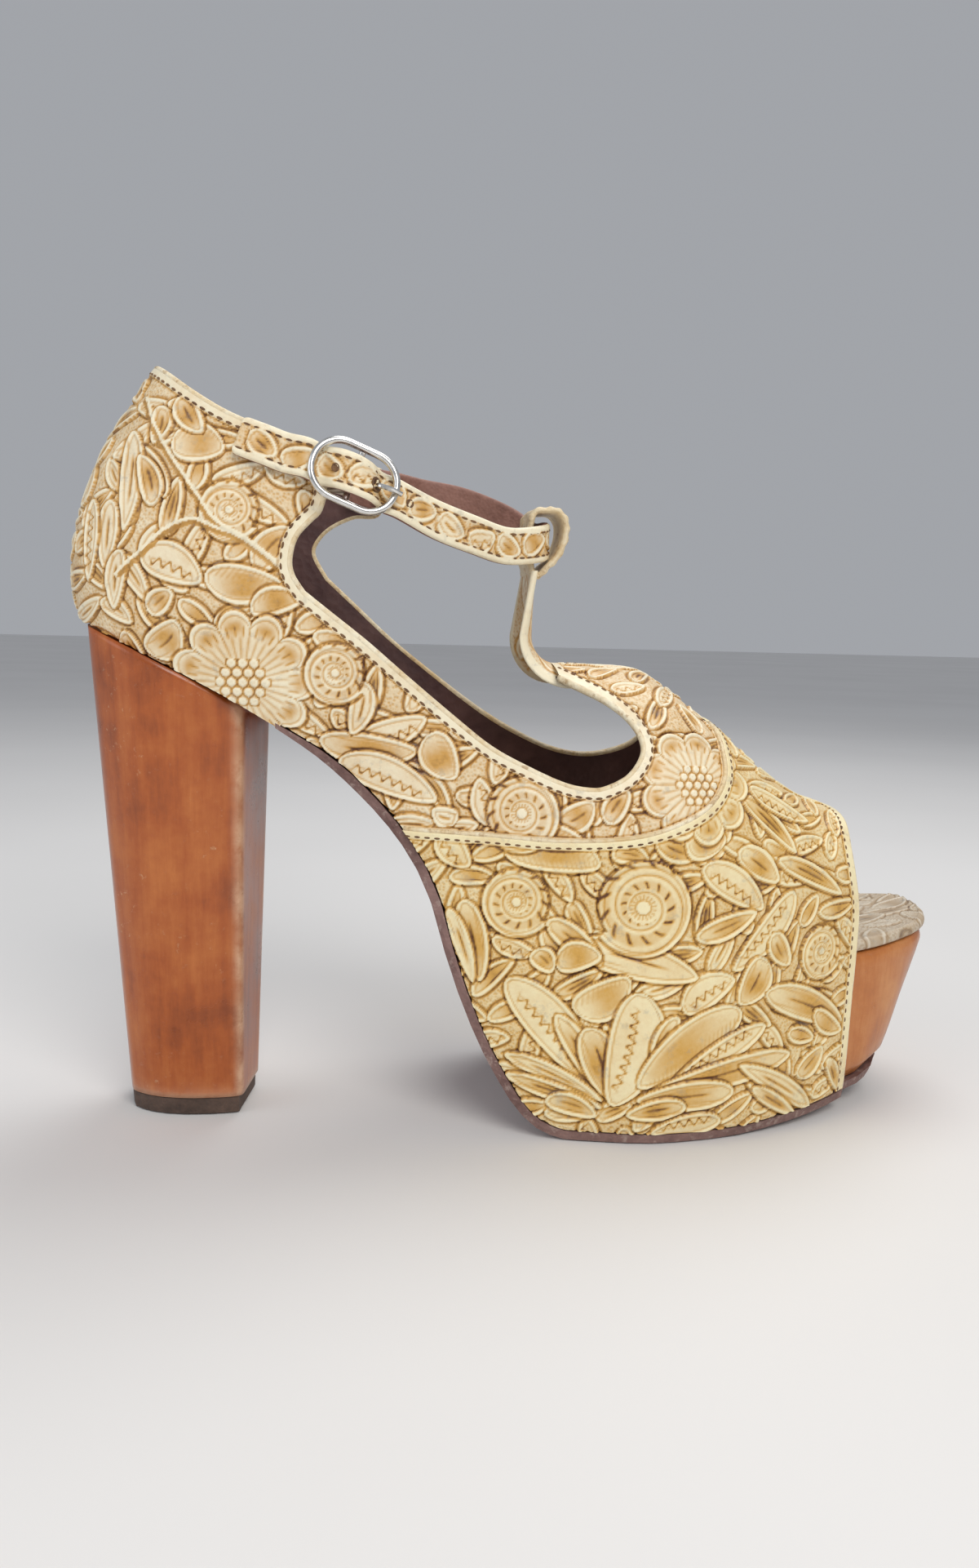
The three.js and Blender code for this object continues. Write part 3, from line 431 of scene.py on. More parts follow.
def line_distance(x, z, line):
    """Distance of points from a polyline, with the sign of the side they lie on: left of its run is positive"""
    a, b = line[:-1], line[1:]
    d = b - a
    best = np.full(x.shape, 1e9, np.float32)
    sign = np.ones(x.shape, np.float32)
    for (ax, az), (dx, dz) in zip(a, d):
        px, pz = x - ax, z - az
        t = np.clip((px * dx + pz * dz) / (dx * dx + dz * dz + 1e-12), 0, 1)
        ex, ez = px - t * dx, pz - t * dz
        dist = ex * ex + ez * ez
        nearer = dist < best - 1e-7
        best = np.where(nearer, dist, best)
        sign = np.where(nearer, np.sign(dx * pz - dz * px), sign)
    return np.sqrt(best) * sign


def opening_line(side):
    tables = (
        (COLLAR_LATERAL, QUARTER_FRONT_LATERAL, OPENING_EDGE_LATERAL),
        (COLLAR_MEDIAL, QUARTER_FRONT_MEDIAL, OPENING_EDGE_MEDIAL),
    )[side > 0]
    parts = [edge_line(rows, steps) for rows, steps in zip(tables, (30, 44, 80))]
    return np.concatenate([parts[0], parts[1][1:], parts[2][1:]])


def clip(values, faces, inside):
    """Keeps the part of a triangle mesh where inside is positive, and cuts the triangles on its zero line"""
    flag = inside > 0
    count = flag[faces].sum(1)
    kept = [faces[count == 3]]
    extra, pairs = [], []
    start = len(values)
    for wanted, lone in ((1, True), (2, False)):
        some = faces[count == wanted]
        if not len(some):
            continue
        turn = np.argmax(flag[some] == lone, axis=1)
        a, b, c = (some[np.arange(len(some)), (turn + k) % 3] for k in range(3))
        pairs.append(np.stack([a, b], 1))
        pairs.append(np.stack([a, c], 1))
        n = len(some)
        extra.append((lone, a, b, c, n))
    if pairs:
        every = np.concatenate(pairs)
        low, high = every.min(1), every.max(1)
        key = low.astype(np.int64) * (len(values) + 1) + high
        _, first, inverse = np.unique(key, return_index=True, return_inverse=True)
        p, q = low[first], high[first]
        t = (inside[p] / (inside[p] - inside[q]))[:, None]
        values = np.concatenate([values, values[p] + (values[q] - values[p]) * t])
        inverse = inverse.ravel() + start
        at = 0
        for lone, a, b, c, n in extra:
            ab, ac = inverse[at : at + n], inverse[at + n : at + 2 * n]
            at += 2 * n
            if lone:
                kept.append(np.stack([a, ab, ac], 1))
            else:
                kept.append(np.stack([ab, b, c], 1))
                kept.append(np.stack([ab, c, ac], 1))
    faces = np.concatenate(kept)
    used, faces = np.unique(faces, return_inverse=True)
    return values[used], faces.reshape(-1, 3)


def grid_faces(n, m, closed=False):
    i, j = np.meshgrid(np.arange(n - 1), np.arange(m if closed else m - 1), indexing="ij")
    a = i * m + j
    b = i * m + (j + 1) % m
    quads = np.stack([a, a + m, b + m, b], -1).reshape(-1, 4)
    return quads


def triangles(quads):
    return np.concatenate([quads[:, [0, 1, 2]], quads[:, [0, 2, 3]]])


# The tooling, charted over the skin: distance round the shoe from the back, and height along the skin, in mm.
# Leaves run from one end to the other with a width. v is veined, s stamped, o hollowed, w veined wing, p plain.
LEAVES = [
    ("v", 41.9, 169.8, 54.5, 169.2, 8.5), ("o", 61.7, 141.0, 70.6, 151.2, 6.6),
    ("v", 49.7, 139.2, 68.3, 137.4, 8.1), ("v", 60.5, 131.4, 73.0, 134.4, 6.1),
    ("s", 34.1, 144.0, 49.1, 138.0, 8.1), ("o", 35.9, 130.2, 41.9, 135.6, 5.4),
    ("o", 35.3, 120.6, 43.1, 128.4, 8.1), ("p", 31.7, 174.6, 29.3, 149.4, 5.4),
    ("o", 37.1, 155.4, 33.5, 168.0, 5.4), ("p", 25.7, 157.2, 23.9, 140.4, 5.4),
    ("s", 19.8, 157.8, 18.0, 137.4, 4.6), ("p", 28.7, 145.2, 26.3, 130.8, 4.9),
    ("v", 71.2, 127.2, 83.2, 132.6, 4.9), ("o", 39.5, 180.0, 37.1, 170.4, 4.9),
    ("o", 43.7, 182.4, 49.1, 172.8, 5.6), ("s", 84.4, 99.0, 103.0, 106.8, 6.8),
    ("o", 77.2, 100.2, 101.2, 98.4, 7.3), ("s", 82.0, 95.4, 106.0, 86.4, 8.1),
    ("v", 104.2, 103.2, 110.2, 91.8, 8.1), ("p", 88.0, 115.2, 85.0, 102.0, 5.4),
    ("v", 75.4, 126.0, 87.4, 121.8, 4.9), ("o", 135.9, 81.6, 144.9, 87.6, 6.3),
    ("s", 120.3, 80.4, 116.2, 92.4, 5.6), ("o", 147.9, 82.2, 153.9, 90.6, 5.4),
    ("p", 111.4, 82.2, 104.8, 84.0, 4.9), ("w", 122.7, 75.6, 146.7, 72.0, 10.3),
    ("o", 149.1, 75.0, 158.7, 73.2, 4.9), ("o", 159.9, 79.2, 171.2, 74.4, 5.6),
    ("v", 168.8, 82.8, 178.4, 77.4, 10.1), ("o", 184.4, 90.0, 201.2, 73.8, 4.9),
    ("s", 188.0, 92.4, 208.4, 82.8, 5.2), ("o", 182.6, 75.6, 194.6, 67.2, 6.5),
    ("o", 194.6, 72.6, 217.3, 61.8, 4.9), ("s", 172.4, 72.0, 189.8, 60.6, 7.5),
    ("o", 171.2, 54.0, 188.0, 60.0, 5.4), ("s", 200.0, 64.2, 182.0, 45.0, 7.0),
    ("o", 193.4, 54.0, 199.4, 45.0, 5.6), ("o", 191.0, 48.0, 184.4, 36.0, 8.0),
    ("s", 168.8, 35.4, 182.6, 43.2, 7.7), ("o", 192.2, 38.4, 220.9, 26.4, 7.7),
    ("o", 204.8, 13.8, 213.7, 21.0, 5.8), ("o", 216.1, 16.8, 221.5, 6.6, 4.0),
    ("p", 141.3, 51.6, 172.4, 43.8, 8.4), ("o", 134.1, 57.6, 147.9, 46.8, 5.8),
    ("v", 136.5, 46.2, 147.9, 49.2, 6.8), ("v", 141.3, 34.8, 155.1, 43.8, 8.7),
    ("o", 130.5, 49.2, 135.9, 44.4, 5.4), ("o", 113.2, 61.8, 117.9, 40.8, 6.6),
    ("p", 109.6, 59.4, 116.2, 40.2, 3.8), ("s", 124.5, 42.0, 147.9, 15.0, 10.1),
    ("o", 137.1, 33.6, 150.3, 13.2, 5.4), ("o", 144.9, 30.6, 151.5, 12.0, 8.4),
    ("s", 158.1, 40.2, 152.1, 10.2, 12.2), ("o", 167.6, 34.2, 162.3, 19.8, 4.9),
    ("v", 185.0, 34.8, 158.1, 15.6, 10.1), ("s", 192.8, 30.0, 166.4, 15.6, 5.8),
    ("o", 201.8, 21.0, 160.5, 13.8, 6.5), ("p", 210.7, 4.2, 185.6, 19.8, 5.2),
    ("o", 184.4, 13.2, 158.1, 12.0, 7.0), ("o", 171.2, 10.2, 155.7, 7.8, 5.2),
    ("p", 124.5, 22.2, 149.7, 11.4, 4.2), ("o", 125.1, 16.8, 149.7, 9.6, 4.2),
    ("o", 135.3, 10.8, 148.5, 7.2, 5.2), ("s", 181.4, 5.4, 162.3, 3.0, 5.6),
    ("v", 209.6, 31.2, 220.9, 24.0, 5.2), ("s", 107.2, 79.2, 114.4, 70.2, 6.5),
    ("o", 189.8, 13.2, 206.0, 2.4, 3.8),
]
# Round flowers: place, radius, and their number of petals or the hand of their spiral
ROUNDS = [
    ("daisy", 58.7, 114.0, 17.7, 11), ("daisy", 171.8, 92.4, 15.6, 9), ("scroll", 55.7, 154.8, 7.8, 1),
    ("scroll", 80.8, 117.0, 8.1, 1), ("scroll", 126.9, 84.0, 10.2, -1), ("scroll", 126.3, 61.8, 9.4, 1),
    ("scroll", 157.5, 61.8, 13.1, -1), ("scroll", 210.7, 47.4, 8.0, 1),
]
# Edges of the counter and of the side panel, on the same chart
COUNTER = [
    (34.7, 182.4), (36.5, 175.8), (40.1, 168.6), (46.7, 159.0), (52.1, 151.8), (59.3, 147.6), (68.3, 141.0),
]
PANEL_TOP = [
    (28.1, 139.2), (34.1, 144.0), (40.7, 149.4), (46.7, 151.8), (52.1, 150.0), (57.5, 148.2), (65.3, 142.8),
    (68.9, 138.6),
]


def padded(values, end):
    """Values for the points of a swept form, with one for the middle of each of its two ends"""
    return np.concatenate([values, [end, end]])


class Tooling:
    """Height, tone from brown to cream, and share of matted ground, on points of a chart"""

    def __init__(self, u, v):
        self.u, self.v = u, v
        self.height = np.full(u.shape, -0.2)
        self.tone = np.full(u.shape, 0.68)
        self.ground = np.ones(u.shape)

    def near(self, low_u, high_u, low_v, high_v):
        return np.nonzero((self.u > low_u) & (self.u < high_u) & (self.v > low_v) & (self.v < high_v))[0]

    def shape(self, at, depth, size):
        """A closed form: cut line round it, cream rim, hollow inside"""
        cut = np.clip(1 - ((depth + 0.34) / 0.5) ** 2, 0, 1)
        inside = depth > 0
        body = smoothstep(0, 0.35, depth)
        rim = np.exp(-(((depth - 0.55) / 0.42) ** 2))
        second = np.clip(1 - ((depth - 1.35) / 0.3) ** 2, 0, 1) * (size > 5)
        self.height[at] = np.where(inside, 0.04 + 0.3 * rim - 0.14 * second, self.height[at] - 0.4 * cut)
        base = 0.8 + 0.18 * rim - 0.36 * second
        self.tone[at] = np.where(inside, base * body + 0.15 * (1 - body), self.tone[at] * (1 - 0.85 * cut))
        self.ground[at] = np.where(inside, 0, self.ground[at] * (1 - cut))
        return inside

    def mark(self, at, amount, drop=0.16, tone=0.3):
        """Sunk brown marks"""
        self.height[at] -= drop * amount
        self.tone[at] += (tone - self.tone[at]) * amount

    def leaf(self, kind, u0, v0, u1, v1, width):
        width *= 1.25
        length = math.hypot(u1 - u0, v1 - v0)
        reach = width + 2
        at = self.near(min(u0, u1) - reach, max(u0, u1) + reach, min(v0, v1) - reach, max(v0, v1) + reach)
        if not len(at):
            return
        du, dv = (u1 - u0) / length, (v1 - v0) / length
        pu, pv = self.u[at] - u0, self.v[at] - v0
        t = (pu * du + pv * dv) / length
        inner = np.clip(t, 0, 1)
        bend = 0.16 * width * math.sin(u0 * 1.7 + v0)
        across = (pv * du - pu * dv) - bend * 4 * inner * (1 - inner)
        half = width / 2 * (np.clip(4 * inner * (1 - inner), 0, 1) ** 0.55) * (1.12 - 0.35 * inner)
        depth = half - np.abs(across)
        depth = np.where((t < 0) | (t > 1), -np.maximum(-t, t - 1) * length + np.minimum(depth, 0), depth)
        depth = np.minimum(depth, 0.8 * np.minimum(t, 1 - t) * length + 0.25 * half)
        inside = self.shape(at, depth, width)
        well = inside & (depth > 0.9)
        hollow = well * smoothstep(0.9, 0.25 * width, depth)
        if kind in "ovw":
            blob = hollow * np.exp(-(((inner - 0.55) / 0.3) ** 2))
            self.tone[at] -= 0.5 * blob
            self.height[at] -= 0.2 * blob
        if kind in "vw":
            vein = np.abs(np.sin((t * length * 0.9 - np.abs(across) * 0.55) * 2.6)) ** 4
            side = smoothstep(0.05 * width, 0.12 * width, across) if kind == "v" else 1
            self.mark(at, 0.6 * well * vein * side, 0.1, 0.3)
        if kind == "s":
            wave = np.sin(t * length * 2.3)
            line = np.clip(1.3 - np.abs(across + 0.1 * width + 0.8 * wave) / 0.42, 0, 1)
            bite = np.clip(1 - np.abs(np.abs(across + 0.12 * width) - 0.7) / 0.45, 0, 1) * (wave > 0.35)
            span = smoothstep(0.1, 0.2, t) * (1 - smoothstep(0.8, 0.9, t))
            self.mark(at, inside * span * np.clip(line + 0.5 * bite, 0, 1), 0.28, 0.08)
        if kind in "op":
            slit = np.clip(1.2 - np.abs(across) / (0.25 + 0.9 * inner * (1 - inner)), 0, 1)
            span = smoothstep(0.22, 0.34, t) * (1 - smoothstep(0.62, 0.78, t))
            self.mark(at, inside * slit * span, 0.3, 0.08)
            for shift in (0.22, -0.22):
                slit = np.clip(1 - np.abs(across - shift * width) / 0.34, 0, 1)
                span = smoothstep(0.05, 0.15, t) * (1 - smoothstep(0.3, 0.45, t))
                self.mark(at, 0.9 * inside * slit * span, 0.1)

    def beads(self, at, du, dv, radius, reach):
        """A cluster of round beads"""
        step = radius * 2.15
        row = np.round(dv / (step * 0.87))
        shift = np.where(np.mod(row, 2) > 0.5, 0.5, 0)
        column = np.round(du / step - shift) + shift
        cu, cv = column * step, row * step * 0.87
        near = np.hypot(du - cu, dv - cv)
        zone = np.hypot(cu, cv) < reach
        ring = np.clip(1 - ((near - radius * 1.06) / 0.36) ** 2, 0, 1)
        pit = np.clip(1 - (near / (0.35 * radius)) ** 2, 0, 1)
        dome = np.clip(1 - (near / radius) ** 2, 0, 1)
        core = zone & (near < radius * 1.2)
        self.height[at] = np.where(core, 0.05 + 0.28 * np.sqrt(dome) - 0.1 * pit, self.height[at])
        self.tone[at] = np.where(core, 0.95 - 0.12 * pit, self.tone[at])
        self.mark(at, ring * zone, 0.25, 0.12)

    def daisy(self, u0, v0, radius, petals):
        at = self.near(u0 - radius - 2, u0 + radius + 2, v0 - radius - 2, v0 + radius + 2)
        if not len(at):
            return
        du, dv = self.u[at] - u0, self.v[at] - v0
        r, angle = np.hypot(du, dv), np.arctan2(dv, du)
        lobe = np.abs(np.cos(petals * angle / 2))
        outline = radius * (0.8 + 0.2 * lobe**0.7)
        inside = self.shape(at, (outline - r) * 0.9, 9)
        share = r / radius
        cleft = np.clip(1 - lobe * radius * share / 1.1, 0, 1) * smoothstep(0.5, 0.6, share)
        self.mark(at, inside * cleft, 0.35, 0.12)
        ray = np.abs(np.sin(petals * 1.5 * angle)) ** 6
        zone = smoothstep(0.3, 0.34, share) * (1 - smoothstep(0.55, 0.7, share))
        self.mark(at, 0.9 * inside * ray * zone, 0.14, 0.4)
        blob = np.exp(-(((share - 0.76) / 0.09) ** 2)) * np.clip(lobe - 0.45, 0, 1) / 0.55
        self.tone[at] -= 0.5 * blob * inside
        self.height[at] -= 0.16 * blob * inside
        for shift in (-0.28, 0, 0.28):
            local = np.mod(petals * angle / (2 * np.pi) + 0.5, 1) - 0.5 - shift
            slit = np.clip(1 - np.abs(local) * 2 * np.pi * r / petals / 0.42, 0, 1)
            span = smoothstep(0.6, 0.66, share) * (1 - smoothstep(0.74, 0.8, share))
            self.mark(at, inside * slit * span, 0.2, 0.15)
        core = r < radius * 0.33
        self.height[at] = np.where(core, 0, self.height[at])
        self.tone[at] = np.where(core, 0.8, self.tone[at])
        self.beads(at, du, dv, radius * 0.072, radius * 0.33)

    def scroll(self, u0, v0, radius, hand):
        at = self.near(u0 - radius - 2, u0 + radius + 2, v0 - radius - 2, v0 + radius + 2)
        if not len(at):
            return
        du, dv = (self.u[at] - u0) * hand, self.v[at] - v0
        r, angle = np.hypot(du, dv), np.arctan2(dv, du)
        turn = angle / (2 * np.pi)
        outline = radius * (0.82 + 0.18 * np.mod(turn + 0.1, 1))
        inside = self.shape(at, outline - r, 9)
        bead = radius * 0.13
        grown = np.log(np.maximum(r, 0.3) / (bead * 1.9)) / math.log(2.1)
        arm = np.mod(grown - turn, 1)
        line = np.clip(1 - np.minimum(arm, 1 - arm) * r * 0.74 / 0.42, 0, 1) * (r > bead * 1.7)
        rim = np.clip(1 - ((np.minimum(arm, 1 - arm) * r * 0.74 - 1) / 0.5) ** 2, 0, 1)
        self.height[at] += 0.12 * rim * inside
        self.mark(at, inside * line, 0.28, 0.22)
        band = np.clip(1.4 - ((arm - 0.5) / 0.24) ** 2, 0, 1) * (r > bead * 2.4)
        stamp = np.clip(np.sin(angle * 12 + r * 1.1) * 1.6 - 0.5, 0, 1)
        self.mark(at, inside * band * stamp * 0.95, 0.22, 0.2)
        self.tone[at] -= inside * band * 0.2
        near_bead = r < bead * 1.9
        self.height[at] = np.where(near_bead, np.where(r < bead, 0.22, -0.05), self.height[at])
        self.tone[at] = np.where(near_bead, np.where(r < bead, 0.97, 0.82), self.tone[at])
        self.mark(at, np.clip(1 - ((r - bead * 1.1) / 0.3) ** 2, 0, 1), 0.15, 0.25)
        tick = np.abs(np.sin(angle * 9)) ** 2 * near_bead * (r > bead * 1.15)
        self.mark(at, tick * 0.8, 0.16, 0.25)

    def undergrowth(self, spread):
        """Leaves in a loose lattice, which the charted forms then lie over"""
        low_u, high_u, low_v, high_v = self.u.min(), self.u.max(), self.v.min(), self.v.max()
        kinds = "osvpovso"
        row = 0
        v = math.floor(low_v / spread) * spread
        while v < high_v + spread:
            u = math.floor(low_u / spread) * spread + (row % 2) * spread * 0.55
            while u < high_u + spread:
                swing = 0.9 * math.sin(u / 13 + v / 9) + 0.7 * math.cos(v / 11 - u / 17) + 0.6 * (row % 2)
                grown = spread * (0.58 + 0.12 * math.sin(u * 2.1 + v * 1.3))
                du, dv = math.cos(swing) * grown, math.sin(swing) * grown
                kind = kinds[int(abs(u * 3 + v * 5)) % len(kinds)]
                self.leaf(kind, u - du, v - dv, u + du, v + dv, spread * 0.42)
                u += spread
            v += spread * 0.8
            row += 1

    def draw(self, leaves, rounds, spread=0):
        if spread:
            self.undergrowth(spread)
        for kind, u0, v0, u1, v1, width in leaves:
            self.leaf(kind, u0, v0, u1, v1, width)
        for kind, u0, v0, size, count in rounds:
            getattr(self, kind)(u0, v0, size, count)
        self.tone = np.clip(self.tone, 0.05, 1)


# Materials
def new_material(name):
    material = bpy.data.materials.new(name)
    material.use_nodes = True
    nodes = material.node_tree.nodes
    nodes.clear()
    output = nodes.new("ShaderNodeOutputMaterial")
    shader = nodes.new("ShaderNodeBsdfPrincipled")
    material.node_tree.links.new(shader.outputs[0], output.inputs[0])
    return material, material.node_tree, shader


def link(tree, source, target):
    tree.links.new(source, target)


def value_of(tree, name):
    node = tree.nodes.new("ShaderNodeAttribute")
    node.attribute_name = name
    return node.outputs["Fac"]


def noise(tree, scale, detail=3.0, roughness=0.55, stretch=None):
    coord = tree.nodes.new("ShaderNodeTexCoord")
    source = coord.outputs["Object"]
    if stretch:
        mapping = tree.nodes.new("ShaderNodeMapping")
        mapping.inputs["Scale"].default_value = stretch
        link(tree, source, mapping.inputs[0])
        source = mapping.outputs[0]
    node = tree.nodes.new("ShaderNodeTexNoise")
    node.inputs["Scale"].default_value = scale
    node.inputs["Detail"].default_value = detail
    node.inputs["Roughness"].default_value = roughness
    link(tree, source, node.inputs["Vector"])
    return node.outputs["Fac"]


def cells(tree, scale):
    coord = tree.nodes.new("ShaderNodeTexCoord")
    node = tree.nodes.new("ShaderNodeTexVoronoi")
    node.inputs["Scale"].default_value = scale
    link(tree, coord.outputs["Object"], node.inputs["Vector"])
    return node.outputs["Distance"]


def ramp(tree, source, stops):
    node = tree.nodes.new("ShaderNodeValToRGB")
    while len(node.color_ramp.elements) < len(stops):
        node.color_ramp.elements.new(0.5)
    for element, (at, color) in zip(node.color_ramp.elements, stops):
        element.position = at
        element.color = (*color, 1) if len(color) == 3 else color
    link(tree, source, node.inputs[0])
    return node.outputs[0]


def grey(level):
    return (level, level, level)


def mix(tree, factor, first, second, mode="MIX"):
    node = tree.nodes.new("ShaderNodeMix")
    node.data_type = "RGBA"
    node.blend_type = mode
    for socket, value in ((node.inputs[0], factor), (node.inputs[6], first), (node.inputs[7], second)):
        if hasattr(value, "is_output"):
            link(tree, value, socket)
        elif isinstance(value, tuple):
            socket.default_value = (*value, 1)
        else:
            socket.default_value = value
    return node.outputs[2]


def maths(tree, operation, first, second=0.0):
    node = tree.nodes.new("ShaderNodeMath")
    node.operation = operation
    for socket, value in zip(node.inputs, (first, second)):
        if hasattr(value, "is_output"):
            link(tree, value, socket)
        else:
            socket.default_value = value
    return node.outputs[0]


def times(tree, first, second):
    return maths(tree, "MULTIPLY", first, second)


def plus(tree, first, second):
    return maths(tree, "ADD", first, second)


def minus(tree, first, second):
    return maths(tree, "SUBTRACT", first, second)


def patches(tree, scale, detail, roughness, low, high, least=0.0):
    """Patches of noise, from least to 1 between two levels of it"""
    return ramp(tree, noise(tree, scale, detail, roughness), [(low, grey(least)), (high, grey(1))])


def rough_from(tree, shader, source, low, least, high, most):
    """Roughness from least to most, between two levels of a noise"""
    link(tree, ramp(tree, source, [(low, grey(least)), (high, grey(most))]), shader.inputs["Roughness"])


def coat(shader, weight):
    shader.inputs["Coat Weight"].default_value = weight
    shader.inputs["Coat Roughness"].default_value = 0.3


def bump(tree, shader, height, distance, strength=1.0):
    node = tree.nodes.new("ShaderNodeBump")
    node.inputs["Distance"].default_value = distance
    node.inputs["Strength"].default_value = strength
    link(tree, height, node.inputs["Height"])
    link(tree, node.outputs[0], shader.inputs["Normal"])


def leather(name, dark, ochre, cream, smudge=0.35):
    """Tooled leather: brown in the cuts, ochre in the hollows, cream on the rims, pitted on the ground"""
    material, tree, shader = new_material(name)
    tone = value_of(tree, "tone")
    broad = noise(tree, 90, 4)
    fine = noise(tree, 900, 4)
    shift = times(tree, minus(tree, broad, 0.5), 0.55)
    grain = times(tree, minus(tree, fine, 0.5), 0.22)
    level = plus(tree, plus(tree, tone, shift), grain)
    pits = cells(tree, 1250)
    ground = value_of(tree, "ground")
    hole = times(tree, ground, minus(tree, 0.62, pits))
    level = minus(tree, level, times(tree, maths(tree, "MAXIMUM", hole, 0.0), 0.62))
    between = tuple((a + b) / 2 for a, b in zip(ochre, cream))
    color = ramp(tree, level, [(0.0, dark), (0.28, ochre), (0.62, between), (0.9, cream)])
    worn = times(tree, patches(tree, 260, 5, 0.7, 0.56, 0.68), smudge)
    rub = times(tree, worn, minus(tree, 1.0, ground))
    color = mix(tree, rub, color, (0.33, 0.31, 0.27))
    link(tree, color, shader.inputs["Base Color"])
    rough_from(tree, shader, broad, 0.3, 0.42, 0.7, 0.58)
    coat(shader, 0.12)
    relief = plus(tree, times(tree, pits, times(tree, ground, 0.8)), times(tree, fine, 0.25))
    bump(tree, shader, relief, 0.0004, 0.8)
    return material


def plain_leather(name, low, high, scale=420, rough=0.55, depth=0.0002, marks=None):
    material, tree, shader = new_material(name)
    wide = noise(tree, 60, 3)
    fine = noise(tree, scale, 5)
    level = plus(tree, times(tree, wide, 0.6), times(tree, fine, 0.4))
    color = ramp(tree, level, [(0.34, low), (0.62, high)])
    if marks:
        spots = patches(tree, 330, 4, 0.7, 0.55, 0.66)
        color = mix(tree, times(tree, spots, 0.7), color, marks)
    link(tree, color, shader.inputs["Base Color"])
    rough_from(tree, shader, fine, 0.3, rough - 0.08, 0.7, rough + 0.08)
    bump(tree, shader, plus(tree, cells(tree, scale * 2.2), fine), depth, 0.7)
    return material


def varnished_wood(name, deep, mid, light, scratches):
    material, tree, shader = new_material(name)
    blotch = noise(tree, 48, 5, 0.62)
    grain = noise(tree, 260, 6, 0.65, (1, 1, 0.07))
    level = plus(tree, times(tree, blotch, 0.62), times(tree, grain, 0.38))
    color = ramp(tree, level, [(0.33, deep), (0.5, mid), (0.68, light)])
    speck = patches(tree, 520, 6, 0.75, 0.6, 0.7)
    patch = patches(tree, 38, 3, 0.55, 0.46, 0.62)
    scuff = times(tree, times(tree, speck, patch), scratches)
    color = mix(tree, scuff, color, (0.72, 0.42, 0.22))
    worn = value_of(tree, "worn")
    chips = times(tree, worn, patches(tree, 190, 5, 0.7, 0.3, 0.55, 0.35))
    color = mix(tree, chips, color, (0.78, 0.5, 0.32))
    link(tree, color, shader.inputs["Base Color"])
    rough_from(tree, shader, blotch, 0.35, 0.26, 0.7, 0.42)
    coat(shader, 0.2)
    bump(tree, shader, plus(tree, grain, speck), 0.00012, 0.5)
    return material


def metal(name):
    material, tree, shader = new_material(name)
    dull = noise(tree, 700, 4)
    color = ramp(tree, dull, [(0.3, (0.62, 0.61, 0.58)), (0.7, (0.83, 0.82, 0.8))])
    link(tree, color, shader.inputs["Base Color"])
    rough_from(tree, shader, dull, 0.3, 0.14, 0.75, 0.3)
    shader.inputs["Metallic"].default_value = 1
    bump(tree, shader, noise(tree, 1500, 2, 0.5), 0.00001, 0.2)
    return material


def ribbed(name, low, high):
    material, tree, shader = new_material(name)
    coord = tree.nodes.new("ShaderNodeTexCoord")
    wave = tree.nodes.new("ShaderNodeTexWave")
    wave.bands_direction = "Z"
    wave.inputs["Scale"].default_value = 330
    wave.inputs["Distortion"].default_value = 0.6
    link(tree, coord.outputs["Object"], wave.inputs["Vector"])
    link(tree, ramp(tree, wave.outputs["Fac"], [(0.2, low), (0.8, high)]), shader.inputs["Base Color"])
    rough_from(tree, shader, noise(tree, 900), 0.3, 0.75, 0.7, 0.95)
    bump(tree, shader, wave.outputs["Fac"], 0.0003, 0.8)
    return material


TOOLED = leather("tooled_leather", (0.12, 0.035, 0.006), (0.64, 0.35, 0.085), (0.92, 0.83, 0.61))
COVER_LEATHER = leather(
    "tooled_cover_leather", (0.12, 0.035, 0.005), (0.66, 0.37, 0.075), (0.91, 0.8, 0.5), 0.35
)
INSOLE_LEATHER = leather(
    "tooled_insole_leather", (0.13, 0.07, 0.04), (0.42, 0.3, 0.18), (0.66, 0.58, 0.46), 0.6
)
EDGE_LEATHER = plain_leather(
    "edge_leather", (0.68, 0.49, 0.24), (0.88, 0.8, 0.6), 500, 0.5, 0.0002, (0.42, 0.25, 0.1)
)
LINING = plain_leather("lining_leather", (0.075, 0.034, 0.034), (0.155, 0.078, 0.07), 260, 0.5, 0.00015)
STRAP_LINING = plain_leather("strap_lining", (0.2, 0.09, 0.065), (0.34, 0.17, 0.13), 500, 0.6, 0.00015)
THREAD = plain_leather("thread", (0.1, 0.045, 0.02), (0.26, 0.14, 0.06), 900, 0.7, 0.0002)
HEEL_WOOD = varnished_wood("heel_wood", (0.19, 0.035, 0.005), (0.4, 0.09, 0.012), (0.55, 0.17, 0.035), 0.7)
TOE_WOOD = varnished_wood("toe_wood", (0.34, 0.1, 0.022), (0.5, 0.17, 0.04), (0.64, 0.29, 0.1), 0.12)
SOLE_LEATHER = plain_leather(
    "sole_leather", (0.13, 0.065, 0.055), (0.27, 0.16, 0.14), 380, 0.62, 0.0003, (0.4, 0.3, 0.26)
)
RUBBER = plain_leather("lift_rubber", (0.05, 0.03, 0.022), (0.12, 0.075, 0.055), 500, 0.75, 0.0002)
NICKEL = metal("worn_nickel")
ELASTIC = ribbed("elastic_web", (0.42, 0.33, 0.25), (0.72, 0.62, 0.5))


# Meshes
def make(name, points, faces, material, nodes, slot, attributes=None, smooth=True):
    mesh = bpy.data.meshes.new(name)
    faces = faces.tolist() if isinstance(faces, np.ndarray) else faces
    mesh.from_pydata(((np.asarray(points) + OFFSET) * 0.001).tolist(), [], faces)
    for key, values in (attributes or {}).items():
        column = mesh.attributes.new(key, "FLOAT", "POINT")
        column.data.foreach_set("value", np.asarray(values, np.float32).ravel())
    if smooth:
        mesh.shade_smooth()
    mesh.materials.append(material)
    mesh.validate()
    piece = bpy.data.objects.new(name, mesh)
    bpy.context.scene.collection.objects.link(piece)
    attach(piece, "root")
    if nodes:
        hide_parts(*nodes)
    return piece


